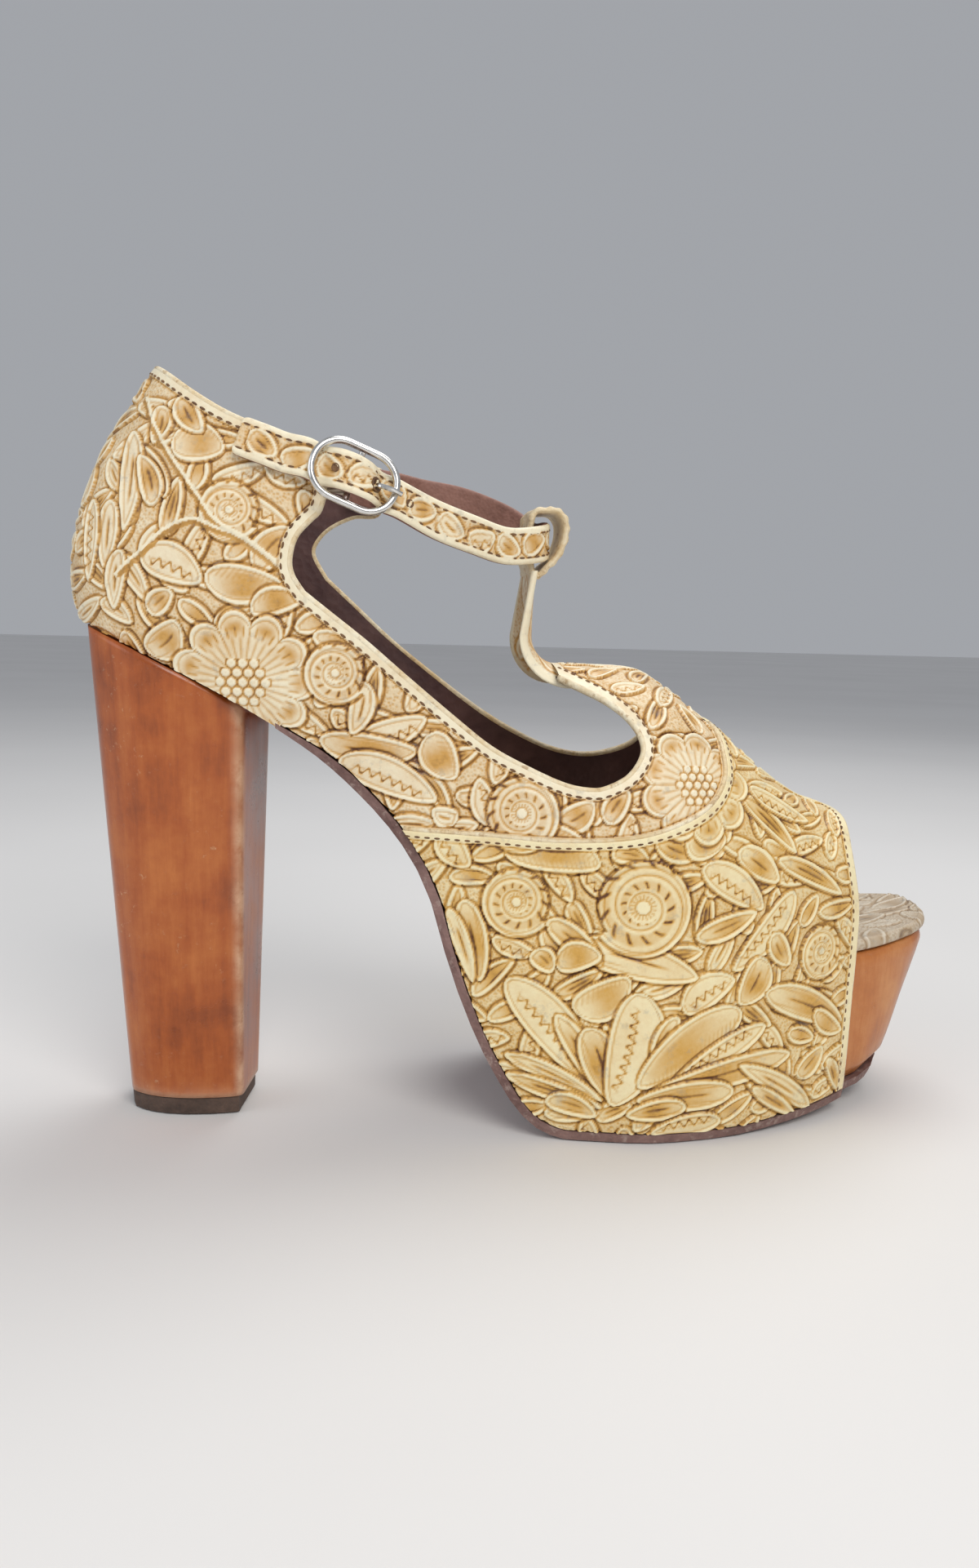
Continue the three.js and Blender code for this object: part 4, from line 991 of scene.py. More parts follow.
def swept(rings, closed=False):
    """Points and faces of a form through rings of equally many points"""
    rings = np.asarray(rings)
    n, m = rings.shape[:2]
    quads = grid_faces(n, m, True)
    if closed:
        i = np.arange(m)
        k = (i + 1) % m
        quads = np.concatenate([quads, np.stack([(n - 1) * m + i, i, k, (n - 1) * m + k], 1)])
        return rings.reshape(-1, 3), quads.tolist()
    points = np.concatenate([rings.reshape(-1, 3), rings[:1].mean(1), rings[-1:].mean(1)])
    first, final = n * m, n * m + 1
    caps = []
    for j in range(m):
        k = (j + 1) % m
        caps.append([first, j, k])
        caps.append([final, (n - 1) * m + k, (n - 1) * m + j])
    return points, quads.tolist() + caps


def frames_along(line, normals):
    tangent = unit(np.gradient(line, axis=0))
    normals = unit(normals - (normals * tangent).sum(1, keepdims=True) * tangent)
    return tangent, normals, np.cross(tangent, normals)


def cord_rings(line, normals, high, wide, sides=12, closed=False):
    _, normal, beside = frames_along(line, normals)
    if closed:
        normal = unit(normals)
        beside = np.cross(unit(np.roll(line, -1, 0) - np.roll(line, 1, 0)), normal)
    angle = np.linspace(0, 2 * np.pi, sides, endpoint=False)
    outward, aside = np.cos(angle)[None, :, None], np.sin(angle)[None, :, None]
    return line[:, None] + outward * normal[:, None] * high + aside * beside[:, None] * wide


def evenly(line, step):
    line = np.asarray(line, float)
    arc = arc_of(line)
    return pick(np.linspace(0, arc[-1], max(int(arc[-1] / step), 2) + 1), arc, line)


def skin_point(line, side):
    """Points of the skin beside a side-view line, and their outward directions"""
    x, z = line.T

    def reach(x, z):
        y = np.zeros(len(x))
        for i, (a, b) in enumerate(zip(x, z)):
            share = np.clip(a / LAST_LENGTH, 0, 1)
            ring_z, ring_w = half_ring(share)
            w = np.interp(b, ring_z[::-1], ring_w[::-1])
            y[i] = centre_line(share) + side * half_width(share) * w
        return y

    y = reach(x, z)
    slope_x = (reach(x + 0.5, z) - reach(x - 0.5, z)) * side
    slope_z = (reach(x, z + 0.5) - reach(x, z - 0.5)) * side
    normal = np.stack([-slope_x, np.full(len(x), side * 1.0), -slope_z], 1)
    return np.stack([x, y, z], 1), unit(normal)


stitches = []


def stitch_row(line, normals, pitch=2.5, length=1.7, radius=0.3):
    """Marks a row of stitches to be made along a line on a surface"""
    arc = arc_of(line)
    at = np.arange(pitch / 2, arc[-1], pitch)
    ahead = unit(pick(at + 0.3, arc, line) - pick(at - 0.3, arc, line))
    stitches.append((pick(at, arc, line), ahead, pick(at, arc, normals), length, radius))


def stitch_beside(line, side, inward, lift):
    """Marks stitches on the skin along one side of a side-view line"""
    direction = unit(np.gradient(line, axis=0))
    behind = line + np.stack([direction[:, 1], -direction[:, 0]], 1) * inward
    row, up = skin_point(behind, side)
    stitch_row(row + up * lift, up)


# Upper: the sides, the cover of the platform and the lining
SEAM_STOPS = [
    (81.7, 79.2), (104, 78.3), (120.9, 77.6), (137.4, 78.7), (149.4, 82), (158.2, 86.4), (163.6, 92.4),
    (165.3, 98.4), (166.5, 106), (167, 130),
]
SEAM_LINE = np.concatenate([[[40, 79.5]], spline(SEAM_STOPS, 90)])
TOE_LINE = edge_line(TOE_EDGE, 60)


def cover_side(x, z):
    """Distance below and ahead of the seam of the platform's cover"""
    return -line_distance(x, z, SEAM_LINE)


def inside_openings(points, side):
    line = opening_line(side)
    behind, ahead = line[0], line[-1]
    line = np.concatenate([[[behind[0] - 400, behind[1] + 40]], line, [[ahead[0], ahead[1] + 400]]])
    return -line_distance(points[..., 0], points[..., 2], line)


def chart_line(points):
    return spline(np.array(points), 80)


def skin_piece(name, side, first, last, step, rows, inside_of, leaves, rounds, material, swell, steps=()):
    shares, u = shares_evenly(first, last, step, side)
    v = np.arange(rows[0], rows[1], step)
    points, headroom = skin_table(shares, v, side)
    normals = grid_normals(points) * -side
    rim = inside_of(points)
    inside = np.minimum(np.minimum(rim, headroom), over_foot(points))
    chart_u = np.repeat(u[:, None], len(v), 1)
    chart_v = np.repeat(v[None], len(u), 0)
    quads = grid_faces(len(u), len(v))
    faces = triangles(quads if side < 0 else quads[:, ::-1])
    near = inside.ravel() > -3 * step
    faces = faces[near[faces].all(1)]
    flat = np.concatenate(
        [points.reshape(-1, 3), normals.reshape(-1, 3), chart_u.reshape(-1, 1), chart_v.reshape(-1, 1)], 1
    )
    values = np.concatenate([flat, rim.reshape(-1, 1)], 1)
    values, faces = clip(values, faces, inside.ravel())
    points, normals, u, v, edge = values[:, :3], values[:, 3:6], values[:, 6], values[:, 7], values[:, 8]
    normals = unit(normals)
    tooling = Tooling(u, v)
    tooling.draw(leaves, rounds, LEAF_SPREAD)
    height = tooling.height.copy()
    for line, lift in steps:
        distance = line_distance(u, v, chart_line(line)).astype(float)
        height += lift * smoothstep(-0.35, 0.35, distance) * (1 - smoothstep(2.5, 9, distance))
        tooling.tone = np.where(np.abs(distance + 0.2) < 0.55, 0.25, tooling.tone)
        border = (distance > 0.35) & (distance < 1.2)
        height = np.where(border, np.maximum(height, lift + 0.02), height)
        tooling.tone = np.where(border, 0.93, tooling.tone)
        tooling.ground = np.where((distance > -0.8) & (distance < 1.2), 0, tooling.ground)
    border = edge < 2.3
    height = np.where(border, 0.06, height)
    tooling.tone = np.where(border, 0.85, tooling.tone)
    groove = np.clip(1 - ((edge - 2.5) / 0.35) ** 2, 0, 1)
    tooling.tone = tooling.tone - 0.45 * groove
    height = height - 0.15 * groove
    tooling.ground = np.where(border, 0, tooling.ground)
    height = height + swell(points)
    attributes = {"tone": np.clip(tooling.tone, 0.03, 1), "ground": tooling.ground}
    points = points + normals * height[:, None]
    return make(name, points, faces, material, ["upper"], "upper_leather", attributes)


def side_inside(side):
    def inside(points):
        x, z = points[..., 0], points[..., 2]
        return np.minimum(inside_openings(points, side), 1.6 - cover_side(x, z))
    return inside


def cover_inside(side):
    def inside(points):
        x, z = points[..., 0], points[..., 2]
        ahead = np.interp(z, TOE_LINE[:, 1], TOE_LINE[:, 0]) - x
        return np.minimum(np.minimum(cover_side(x, z), ahead), inside_openings(points, side))
    return inside


def cover_swell(points):
    seam = cover_side(points[:, 0], points[:, 2]).astype(float)
    return 0.75 * (1 - smoothstep(0, 14, seam)) * smoothstep(-0.2, 0.5, seam) + 0.12


# Chart lines where one layer of leather lies over another, and how far it stands out
CHART_SEAMS = ((COUNTER, 0.45), (PANEL_TOP, 0.35))
for side, word, step in ((-1, "lateral", LATERAL_STEP), (1, "medial", MEDIAL_STEP)):
    skin_piece(
        "upper_side_" + word, side, 0.0, 0.72, step, (30, 196), side_inside(side), LEAVES, ROUNDS, TOOLED,
        lambda points: 0.0, CHART_SEAMS,
    )
    skin_piece(
        "upper_cover_" + word, side, 0.26, 0.87, step + COVER_COARSER, (0, 130), cover_inside(side),
        LEAVES, ROUNDS, COVER_LEATHER, cover_swell,
    )


def lining_piece(name, side):
    shares, u = shares_evenly(0.004, 0.862, LINING_STEP, side)
    v = np.arange(26, 196, LINING_STEP)
    points, headroom = skin_table(shares, v, side)
    normals = grid_normals(points) * -side
    x, z = points[..., 0], points[..., 2]
    toe = np.interp(z, TOE_LINE[:, 1], TOE_LINE[:, 0]) - x
    inside = np.minimum(np.minimum(inside_openings(points, side), headroom + 0.1), toe)
    inside = np.minimum(inside, z - footbed(x / LAST_LENGTH) + 3)
    quads = grid_faces(len(u), len(v))
    faces = triangles(quads[:, ::-1] if side < 0 else quads)
    faces = faces[(inside.ravel() > -5)[faces].all(1)]
    inner = points - normals * WALL
    inner[..., 1] = np.where(headroom < 0, points[..., 1], inner[..., 1])
    values, faces = clip(inner.reshape(-1, 3), faces, inside.ravel())
    return make(name, values, faces, LINING, ["upper"], "upper_leather")


for side, word in ((-1, "lateral"), (1, "medial")):
    lining_piece("upper_lining_" + word, side)


# Rounded edges of the upper and the stitches behind them
def edge_strip(name, line, side, inward=1.9):
    """A rounded edge along a side-view line, as thick as the wall, with a row of stitches behind it"""
    line = evenly(line, EDGE_STEP)
    line = line[line[:, 1] < crest(line[:, 0] / LAST_LENGTH) - 0.02]
    points, normals = skin_point(line, side)
    rings = cord_rings(points - normals * (WALL / 2 - 0.05), normals, WALL / 2 + EDGE_PROUD, EDGE_RADIUS)
    make(name, *swept(rings), EDGE_LEATHER, ["upper"], "upper_leather")
    stitch_beside(line, side, inward, 0.1)


for side, word in ((-1, "lateral"), (1, "medial")):
    line = opening_line(side)
    back_end = line[0] - np.linspace(2.6, 0.3, 9)[:, None] * np.array([1, 0.1])
    line = np.concatenate([back_end, line])
    edge_strip("edge_opening_" + word, line, side)
    toe = TOE_LINE[(TOE_LINE[:, 1] > 5) & (TOE_LINE[:, 1] < crest(0.8405) - 0.4)]
    edge_strip("edge_toe_" + word, toe[::-1], side)
    seam = SEAM_LINE[(SEAM_LINE[:, 0] > 81) & (SEAM_LINE[:, 1] < crest(0.684) - 0.6)]
    seam = evenly(seam, EDGE_STEP)
    seam = seam[over_foot(skin_point(seam, side)[0]) > 0.5]
    points, normals = skin_point(seam, side)
    rings = cord_rings(points + normals * 0.35, normals, SEAM_RADIUS + 0.02, SEAM_RADIUS, 10)
    make("seam_cover_" + word, *swept(rings), EDGE_LEATHER, ["upper"], "upper_leather")
    stitch_beside(seam, side, 1.7, 0.85)


# T-strap and its folded loop
def bezel(width, thickness, corner=0.5, across=14, dip=0.0):
    """Outline of a strap's section: across and outward"""
    v = np.linspace(-1, 1, across + 1)
    half = width / 2
    arch = -dip * v**2
    bend = 2 * corner / width
    past = np.clip(np.abs(v) - (1 - bend), 0, 1) / bend
    lift = thickness / 2 - corner + corner * np.clip(1 - past**2, 0, 1) ** 0.5
    outer = np.stack([v * half, arch + lift], 1)
    inner = np.stack([v * half, arch - lift], 1)[::-1]
    return np.concatenate([outer, inner])


def t_strap():
    stops = []
    for share in np.linspace(0.6, 0.545, 12):
        stops.append(((share * LAST_LENGTH, crest(share) - 0.15), (0, 1), 1 + T_SPREAD, 0))
    foot = (T_FOOT * LAST_LENGTH, crest(0.545))
    for turned in np.linspace(0, 1, 22):
        angle = turned * np.pi / 2
        out = (math.sin(angle), math.cos(angle))
        at = (foot[0] - T_BEND * out[0], foot[1] + T_BEND * (1 - out[1]))
        stops.append((at, out, 1 + T_SPREAD * (1 - turned) ** 1.4, 0))
    bend = stops[-1][0]
    for share in np.linspace(0.08, 1.02, 22):
        stops.append(((bend[0], bend[1] + share * T_RISE), (1, 0), 1, share))
    middle = centre_line(0.5)
    rings = []
    for at, out, broad, flat in stops:
        section = bezel(T_WIDTH * broad, WALL, 0.6, 24, T_ARCH * broad * (1 - flat))
        depth = WALL / 2 - section[:, 1]
        rings.append(np.stack([at[0] - out[0] * depth, middle + section[:, 0], at[1] - out[1] * depth], 1))
    return np.array(rings), stops


rings, t_stops = t_strap()
points, faces = swept(rings)
m = rings.shape[1]
place = np.repeat(np.arange(len(rings)) * 0.9, m)
across = np.tile(bezel(T_WIDTH, WALL, 0.6, 24)[:, 0], len(rings))
tooling = Tooling(place, across)
t_leaves = [("o", 12, -5, 25, 4, 6), ("v", 22, 5, 36, -4, 7), ("s", 36, -4, 50, 3, 6), ("p", 4, 6, 18, 6, 4)]
tooling.draw(t_leaves, [])
tone = np.where(np.abs(across) > T_BAND, 0.92, tooling.tone)
ground = tooling.ground * (np.abs(across) < T_BAND)
attributes = {"tone": padded(tone, 0.8), "ground": padded(ground, 0)}
make("t_strap", points, faces, TOOLED, ["upper"], "upper_leather", attributes)

top = t_stops[-1][0]
centre = np.array([top[0] + LOOP_SIZE[0] * 0.23, top[1] - 0.02 * T_RISE + LOOP_SIZE[2] * 0.41])
contour = np.stack([LOOP_CONTOUR["ahead"], LOOP_CONTOUR["above"]], 1)
contour = spline(np.concatenate([contour[-2:], contour, contour[:3]]), 17 * 8)[16:-16]
contour = contour[:-1][np.linalg.norm(np.diff(contour, axis=0), axis=1) > 1e-6]
loop_line = centre + contour * (np.array([LOOP_SIZE[0], LOOP_SIZE[2]]) / 2 - LOOP_WALL / 2)
rings = []
middle = centre_line(0.5)
wobble = 0.16 * np.sin(np.arange(len(loop_line)) * 0.9)
around = unit(np.roll(loop_line, -1, 0) - np.roll(loop_line, 1, 0))
outward = np.stack([-around[:, 1], around[:, 0]], 1)
if ((loop_line - centre) * outward).sum() < 0:
    outward = -outward
for at, out, ripple in zip(loop_line, outward, wobble):
    section = bezel(LOOP_SIZE[1], LOOP_WALL, 0.6, 16)
    crease = ripple * np.cos(section[:, 0] * 0.5) * (section[:, 1] > 0)
    reach = section[:, 1] + crease
    rings.append(np.stack([at[0] + out[0] * reach, middle + section[:, 0], at[1] + out[1] * reach], 1))
make("t_strap_loop", *swept(rings, True), EDGE_LEATHER, ["upper"], "upper_leather")


# Ankle strap, along the path that the solid follows
def catmull(points, steps):
    """Centripetal curve through points, sampled finely"""
    p = np.concatenate([[2 * points[0] - points[1]], points, [2 * points[-1] - points[-2]]])
    line = []
    for i in range(1, len(p) - 2):
        p0, p1, p2, p3 = p[i - 1 : i + 3]
        t0 = 0.0
        t1 = t0 + np.linalg.norm(p1 - p0) ** 0.5
        t2 = t1 + np.linalg.norm(p2 - p1) ** 0.5
        t3 = t2 + np.linalg.norm(p3 - p2) ** 0.5
        for t in np.linspace(t1, t2, steps, endpoint=False):
            a1 = (t1 - t) / (t1 - t0) * p0 + (t - t0) / (t1 - t0) * p1
            a2 = (t2 - t) / (t2 - t1) * p1 + (t - t1) / (t2 - t1) * p2
            a3 = (t3 - t) / (t3 - t2) * p2 + (t - t2) / (t3 - t2) * p3
            b1 = (t2 - t) / (t2 - t0) * a1 + (t - t0) / (t2 - t0) * a2
            b2 = (t3 - t) / (t3 - t1) * a2 + (t - t1) / (t3 - t1) * a3
            line.append((t2 - t) / (t2 - t1) * b1 + (t - t1) / (t2 - t1) * b2)
    line.append(p[-2])
    return np.array(line)


def on_side(share, up, side, depth):
    height = footbed(share) + up * INSTEP_RISE
    return np.array([share * LAST_LENGTH, side_reach(share, height, side) + side * depth, height])


def strap_frame(point, forward):
    share = point[0] / LAST_LENGTH
    beside = min(share, 0.325)
    side = np.sign(point[1] - centre_line(share))
    half = STRAP_WIDTH / 2
    lean = (side_reach(beside, point[2] + half, side) - side_reach(beside, point[2] - half, side)) / STRAP_WIDTH
    fade = 1 - smoothstep(0.325, 0.4, share)
    upward = np.array([0, lean * fade, 1.0])
    upward = unit(upward - forward * upward.dot(forward))
    return upward, np.cross(forward, upward)


lift = 2 * CLEARANCE + STRAP_THICKNESS + 3 * STRAP_SLACK + BUCKLE_WIRE / 2
BUCKLE_AT = on_side(0.287, 0.887, -1, lift)
BUCKLE_AHEAD = unit(on_side(0.327, 0.956, -1, lift) - BUCKLE_AT)
BUCKLE_UP, BUCKLE_OUT = strap_frame(BUCKLE_AT, BUCKLE_AHEAD)


def in_buckle(ahead, outward, upward=0.0):
    return BUCKLE_AT + BUCKLE_AHEAD * ahead + BUCKLE_OUT * outward + BUCKLE_UP * upward


reach = BUCKLE_LENGTH / 2 - BUCKLE_WIRE / 2
low = -(BUCKLE_WIRE / 2 + CLEARANCE + STRAP_SLACK + STRAP_THICKNESS / 2)
high = BAR_WIRE / 2 + CLEARANCE + STRAP_THICKNESS / 2 - BAR_SINK
strap_lift = CLEARANCE + STRAP_THICKNESS / 2
route = []
for s, up in zip(STRAP_TIP_ROUTE["at"], STRAP_TIP_ROUTE["up"]):
    route.append(on_side(s, up, -1, strap_lift + STRAP_SLACK))
for ahead, outward in (
    (-reach - 1.5, low), (-reach * 0.72, low), (-reach * 0.33, high - 0.7), (0, high),
    (reach * 0.33, high - 0.7), (reach * 0.72, low), (reach + 1.5, low),
):
    route.append(in_buckle(ahead, outward))
for s, across, up in zip(STRAP_ROUTE["at"], STRAP_ROUTE["across"], STRAP_ROUTE["up"]):
    route.append(np.array([s * LAST_LENGTH, across * BALL_WIDTH, footbed(s) + up * INSTEP_RISE]))
behind = -(WALL + strap_lift + STRAP_ROOT_SLACK)
route += [on_side(s, up, 1, behind) for s, up in zip(STRAP_ROOT_ROUTE["at"], STRAP_ROOT_ROUTE["up"])]
strap_line = evenly(catmull(np.array(route), 24), STRAP_STEP)
tangent = unit(np.gradient(strap_line, axis=0))
length_along = np.arange(len(strap_line)) * STRAP_STEP
share_along = np.linspace(0, 1, len(strap_line))
widths = STRAP_WIDTH + (STRAP_MEDIAL_WIDTH - STRAP_WIDTH) * smoothstep(0.6, 0.8, share_along)
tip = np.clip(length_along / 1.2, 0, 1)
rings, tops = [], []
for at, ahead, width, square in zip(strap_line, tangent, widths, tip):
    upward, outward = strap_frame(at, ahead)
    narrowed = (width - 0.1) * (0.86 + 0.14 * square**0.5)
    section = bezel(narrowed, STRAP_THICKNESS - 0.1, STRAP_CORNER, STRAP_ACROSS)
    rim = np.exp(-(((np.abs(section[:, 0]) - width / 2 + 1.1) / 0.5) ** 2)) * 0.12
    outer = section[:, 1] > 0
    reach_out = section[:, 1] - np.where(outer, 0.16 - rim, 0)
    rings.append(at + section[:, :1] * upward + reach_out[:, None] * outward)
    tops.append((upward, outward, width))
rings = np.array(rings)
points, faces = swept(rings)
m = rings.shape[1]
place = np.repeat(length_along, m)
across = np.array([bezel(w, 2, STRAP_CORNER, STRAP_ACROSS)[:, 0] for w in widths]).ravel()
is_outer = np.tile(np.arange(m) < m // 2, len(rings))
tooling = Tooling(place, across)
strap_leaves = []
for k, kind in enumerate("ovosvopsovspovosv"):
    start = 2.5 + k * 8.6
    sway = 1.6 if k % 2 else -1.6
    strap_leaves.append((kind, start, -sway, start + 7.6, sway, 5.4))
tooling.draw(strap_leaves, [])
edge_band = np.abs(across) > np.repeat(widths, m) / 2 - STRAP_BAND
tone = np.where(edge_band, 0.9, tooling.tone)
tone = np.where(is_outer, tone, 0.4)
ground = np.where(edge_band | ~is_outer, 0, tooling.ground)
height = np.where(is_outer & ~edge_band, tooling.height, 0)
outs = np.repeat(np.array([t[1] for t in tops]), m, 0)
points[: len(outs)] += outs * (height * 0.8)[:, None]
attributes = {"tone": padded(tone, 0.8), "ground": padded(ground, 0)}
strap = make("ankle_strap_band", points, faces, TOOLED, ["ankle_strap"], "upper_leather", attributes)
strap.data.materials.append(STRAP_LINING)
inner_face = np.zeros(len(faces), np.int32)
quad_count = (len(rings) - 1) * m
inner_face[:quad_count] = np.tile((np.arange(m) >= m // 2 - 1), len(rings) - 1)
strap.data.polygons.foreach_set("material_index", inner_face)
strap_out = np.array([outward for _, outward, _ in tops])
for sign in (-1, 1):
    row = []
    for at, (upward, outward, width) in zip(strap_line, tops):
        row.append(at + upward * sign * (width / 2 - 1.75) + outward * (STRAP_THICKNESS / 2 - 0.2))
    stitch_row(np.array(row), strap_out, 2.6, 1.7, 0.26)


def strap_hole(name, distance, radius):
    """A small raised ring round a hole, at a distance along the strap"""
    i = int(np.clip(distance / STRAP_STEP, 0, len(strap_line) - 1))
    upward, outward, _ = tops[i]
    ahead = tangent[i]
    angle = np.linspace(0, 2 * np.pi, 20, endpoint=False)
    circle = np.cos(angle)[:, None] * ahead + np.sin(angle)[:, None] * upward
    profile = ((1.25, 0.9), (1.2, 1.1), (0.95, 1.12), (0.8, 0.85), (0.7, 0.3))
    rings = [strap_line[i] + circle * radius * r + outward * h for r, h in profile]
    make(name, *swept(rings), THREAD, None, "upper_leather")


nearest = int(np.argmin(np.linalg.norm(strap_line - in_buckle(PRONG_EXIT, 0), axis=1)))
for k, shift in enumerate((-9.5, 0, 10.5)):
    strap_hole("strap_hole_%d" % k, nearest * STRAP_STEP + shift, 0.85 if shift else 1.5)

# Buckle
half_length, half_height = (BUCKLE_LENGTH - BUCKLE_WIRE) / 2, (BUCKLE_HEIGHT - BUCKLE_WIRE) / 2
corner = min(7, half_height - 0.2)
loop = []
for a, b, turn in ((1, 1, 0), (-1, 1, 1), (-1, -1, 2), (1, -1, 3)):
    for angle in (turn + np.linspace(0, 1, 16)) * np.pi / 2:
        x = a * (half_length - corner) + corner * math.cos(angle)
        loop.append((x, b * (half_height - corner) + corner * math.sin(angle)))
loop = np.array(loop)
gaps = np.linalg.norm(np.diff(np.concatenate([loop, loop[:1]]), axis=0), axis=1)
loop = evenly(np.concatenate([loop[gaps > 1e-6], loop[:1]]), 0.6)[:-1]
line = np.array([in_buckle(a, 0, b) for a, b in loop])
facing = np.repeat(BUCKLE_OUT[None], len(line), 0)
rings = cord_rings(line, facing, BUCKLE_WIRE / 2, BUCKLE_WIRE / 2, 16, True)
make("buckle_ring", *swept(rings, True), NICKEL, ["buckle_frame"], "buckle_metal")
bar_stops = ((-1, 0.3), (-0.9, 0.8), (-0.7, 1), (0, 1), (0.7, 1), (0.9, 0.8), (1, 0.3))
bar = evenly(catmull(np.array([in_buckle(0, -sunk, up * half_height) for up, sunk in bar_stops]), 8), 0.6)
facing = np.repeat(BUCKLE_OUT[None], len(bar), 0)
rings = cord_rings(bar, facing, BAR_WIRE / 2, BAR_WIRE / 2, 14)
make("buckle_bar", *swept(rings), NICKEL, ["buckle_frame"], "buckle_metal")


# Insole and platform, set down to the outsole's top
def board(name, inset, top, bottom, material, node, slot, corner, across, step, motifs=None):
    """A flat piece inside the last: its edge set in from the skin, its top and bottom given"""
    shares, _ = shares_evenly(0.02, 0.9985, step, -1)
    v = np.arange(-24, 200, 1.0)
    levels = np.concatenate([np.linspace(0, 1, 9)[:-1], 1 - np.geomspace(0.12, 0.004, 5), [1]])
    edges = []
    for side in (-1, 1):
        points, headroom = skin_table(shares, v, side)
        normals = grid_normals(points) * -side
        inner = points - normals * inset
        column = []
        for i in range(len(shares)):
            moved = np.linalg.norm(np.diff(points[i], axis=0), axis=1) > 1e-6
            good = np.nonzero(np.concatenate([moved, [False]]) & (headroom[i] > 0.5))[0][1:]
            x, y, z = inner[i][good].T
            at_top = np.interp(0, z - top(x, y), v[good])
            at_base = np.interp(0, z - bottom(x, y), v[good])
            at = at_base + levels * (at_top - at_base)
            p = pick(at, v[good], inner[i][good])
            out = pick(at, v[good], normals[i][good])
            height = p[-1, 2] - p[0, 2]
            for d in ((1 - levels) * height, levels * height * 1.6):
                near = 1 - np.clip(d / corner, 0, 1)
                p[:, :2] -= out[:, :2] * (corner * (1 - np.sqrt(1 - near**2)))[:, None]
            column.append(p)
        edges.append(np.array(column))
    lateral, medial = edges
    t = np.linspace(0, 1, across + 1)[1:-1, None]
    rings = []
    for a, b in zip(lateral, medial):
        upper_row = a[-1] + (b[-1] - a[-1]) * t
        upper_row[:, 2] = top(upper_row[:, 0], upper_row[:, 1])
        lower_row = a[0] + (b[0] - a[0]) * t[::-1]
        lower_row[:, 2] = np.maximum(bottom(lower_row[:, 0], lower_row[:, 1]), np.minimum(a[0, 2], b[0, 2]))
        rings.append(np.concatenate([a, upper_row, b[::-1], lower_row]))
    rings = np.array(rings)
    points, faces = swept(rings)
    attributes = {"worn": np.zeros(len(points))}
    if motifs:
        flat = rings.reshape(-1, 3)
        tooling = Tooling(flat[:, 0], flat[:, 1])
        tooling.draw(*motifs)
        upper_part = flat[:, 2] > bottom(flat[:, 0], flat[:, 1]) + 1.5
        points[: len(flat), 2] += tooling.height * 0.6 * upper_part
        attributes = {"tone": padded(tooling.tone, 0.7), "ground": padded(tooling.ground, 0)}
    return make(name, points, faces, material, [node], slot, attributes)


def sole_height(x, y, extra):
    place = unslant(x, y)
    line = sole_line(lambda s: outsole_depth(s) + extra, -0.03, 1.04, 240)
    return np.interp(place, line[:, 0], line[:, 1])


SOLE_LEAVES = [
    ("o", 214, 14, 232, 20, 7), ("v", 206, 2, 224, 8, 8), ("s", 204, 24, 222, 28, 6),
    ("o", 212, -8, 226, -2, 6), ("v", 226, 4, 239, 12, 6), ("o", 190, 0, 205, 14, 7),
    ("s", 190, -14, 208, -6, 6), ("o", 176, 8, 192, 20, 7), ("v", 170, -12, 188, -2, 7),
]


def under_footbed(depth):
    """Heights at a depth below the footbed"""
    return lambda x, y: footbed(np.clip(x / LAST_LENGTH, 0, 1)) - depth


board(
    "insole_pad", WALL + 0.45, under_footbed(0.25), under_footbed(INSOLE_THICKNESS), INSOLE_LEATHER,
    "insole", "insole_leather", 1.9, 72, 0.85, (SOLE_LEAVES, [], INSOLE_SPREAD),
)
board(
    "platform_board", WALL + 0.35, under_footbed(INSOLE_THICKNESS + CLEARANCE),
    lambda x, y: sole_height(x, y, CLEARANCE), TOE_WOOD, "platform", "platform_wood", 2.2, 14, 1.0,
)


# Heel, with a small radius on its edges and the marks of wear along the breast corner
def heel_points(height, shrink=0.0):
    share = height / FOOTBED_BACK
    length = HEEL_BOTTOM[0] + (HEEL_TOP[0] - HEEL_BOTTOM[0]) * share - shrink
    width = HEEL_BOTTOM[1] + (HEEL_TOP[1] - HEEL_BOTTOM[1]) * share - shrink / 2
    back = HEEL_BACK_INSET + HEEL_RAKE * (1 - share) + shrink * 0.2
    t = np.linspace(0, 1, 60) ** 1.6
    wide = along(HEEL_OUTLINE, "wide", t)
    sides = []
    for side in (-1, 1):
        ahead = back + t * length
        aside = side * wide * width / 2
        x = ahead + aside * HEEL_SKEW * t
        y = centre_line(0.04) + (ahead - HEEL_BACK_INSET) * math.sin(HEEL_TWIST) + aside * math.cos(HEEL_TWIST)
        sides.append(np.stack([x, y, np.full(len(t), height)], 1))
    lateral, medial = sides
    breast = lateral[-1] + (medial[-1] - lateral[-1]) * np.linspace(0, 1, 22)[1:-1, None]
    back_row = medial[0] + (lateral[0] - medial[0]) * np.linspace(0, 1, 8)[1:-1, None]
    ring = np.concatenate([lateral, breast, medial[::-1], back_row])
    for _ in range(3):
        ring = (np.roll(ring, 1, 0) + ring * 2 + np.roll(ring, -1, 0)) / 4
    return ring


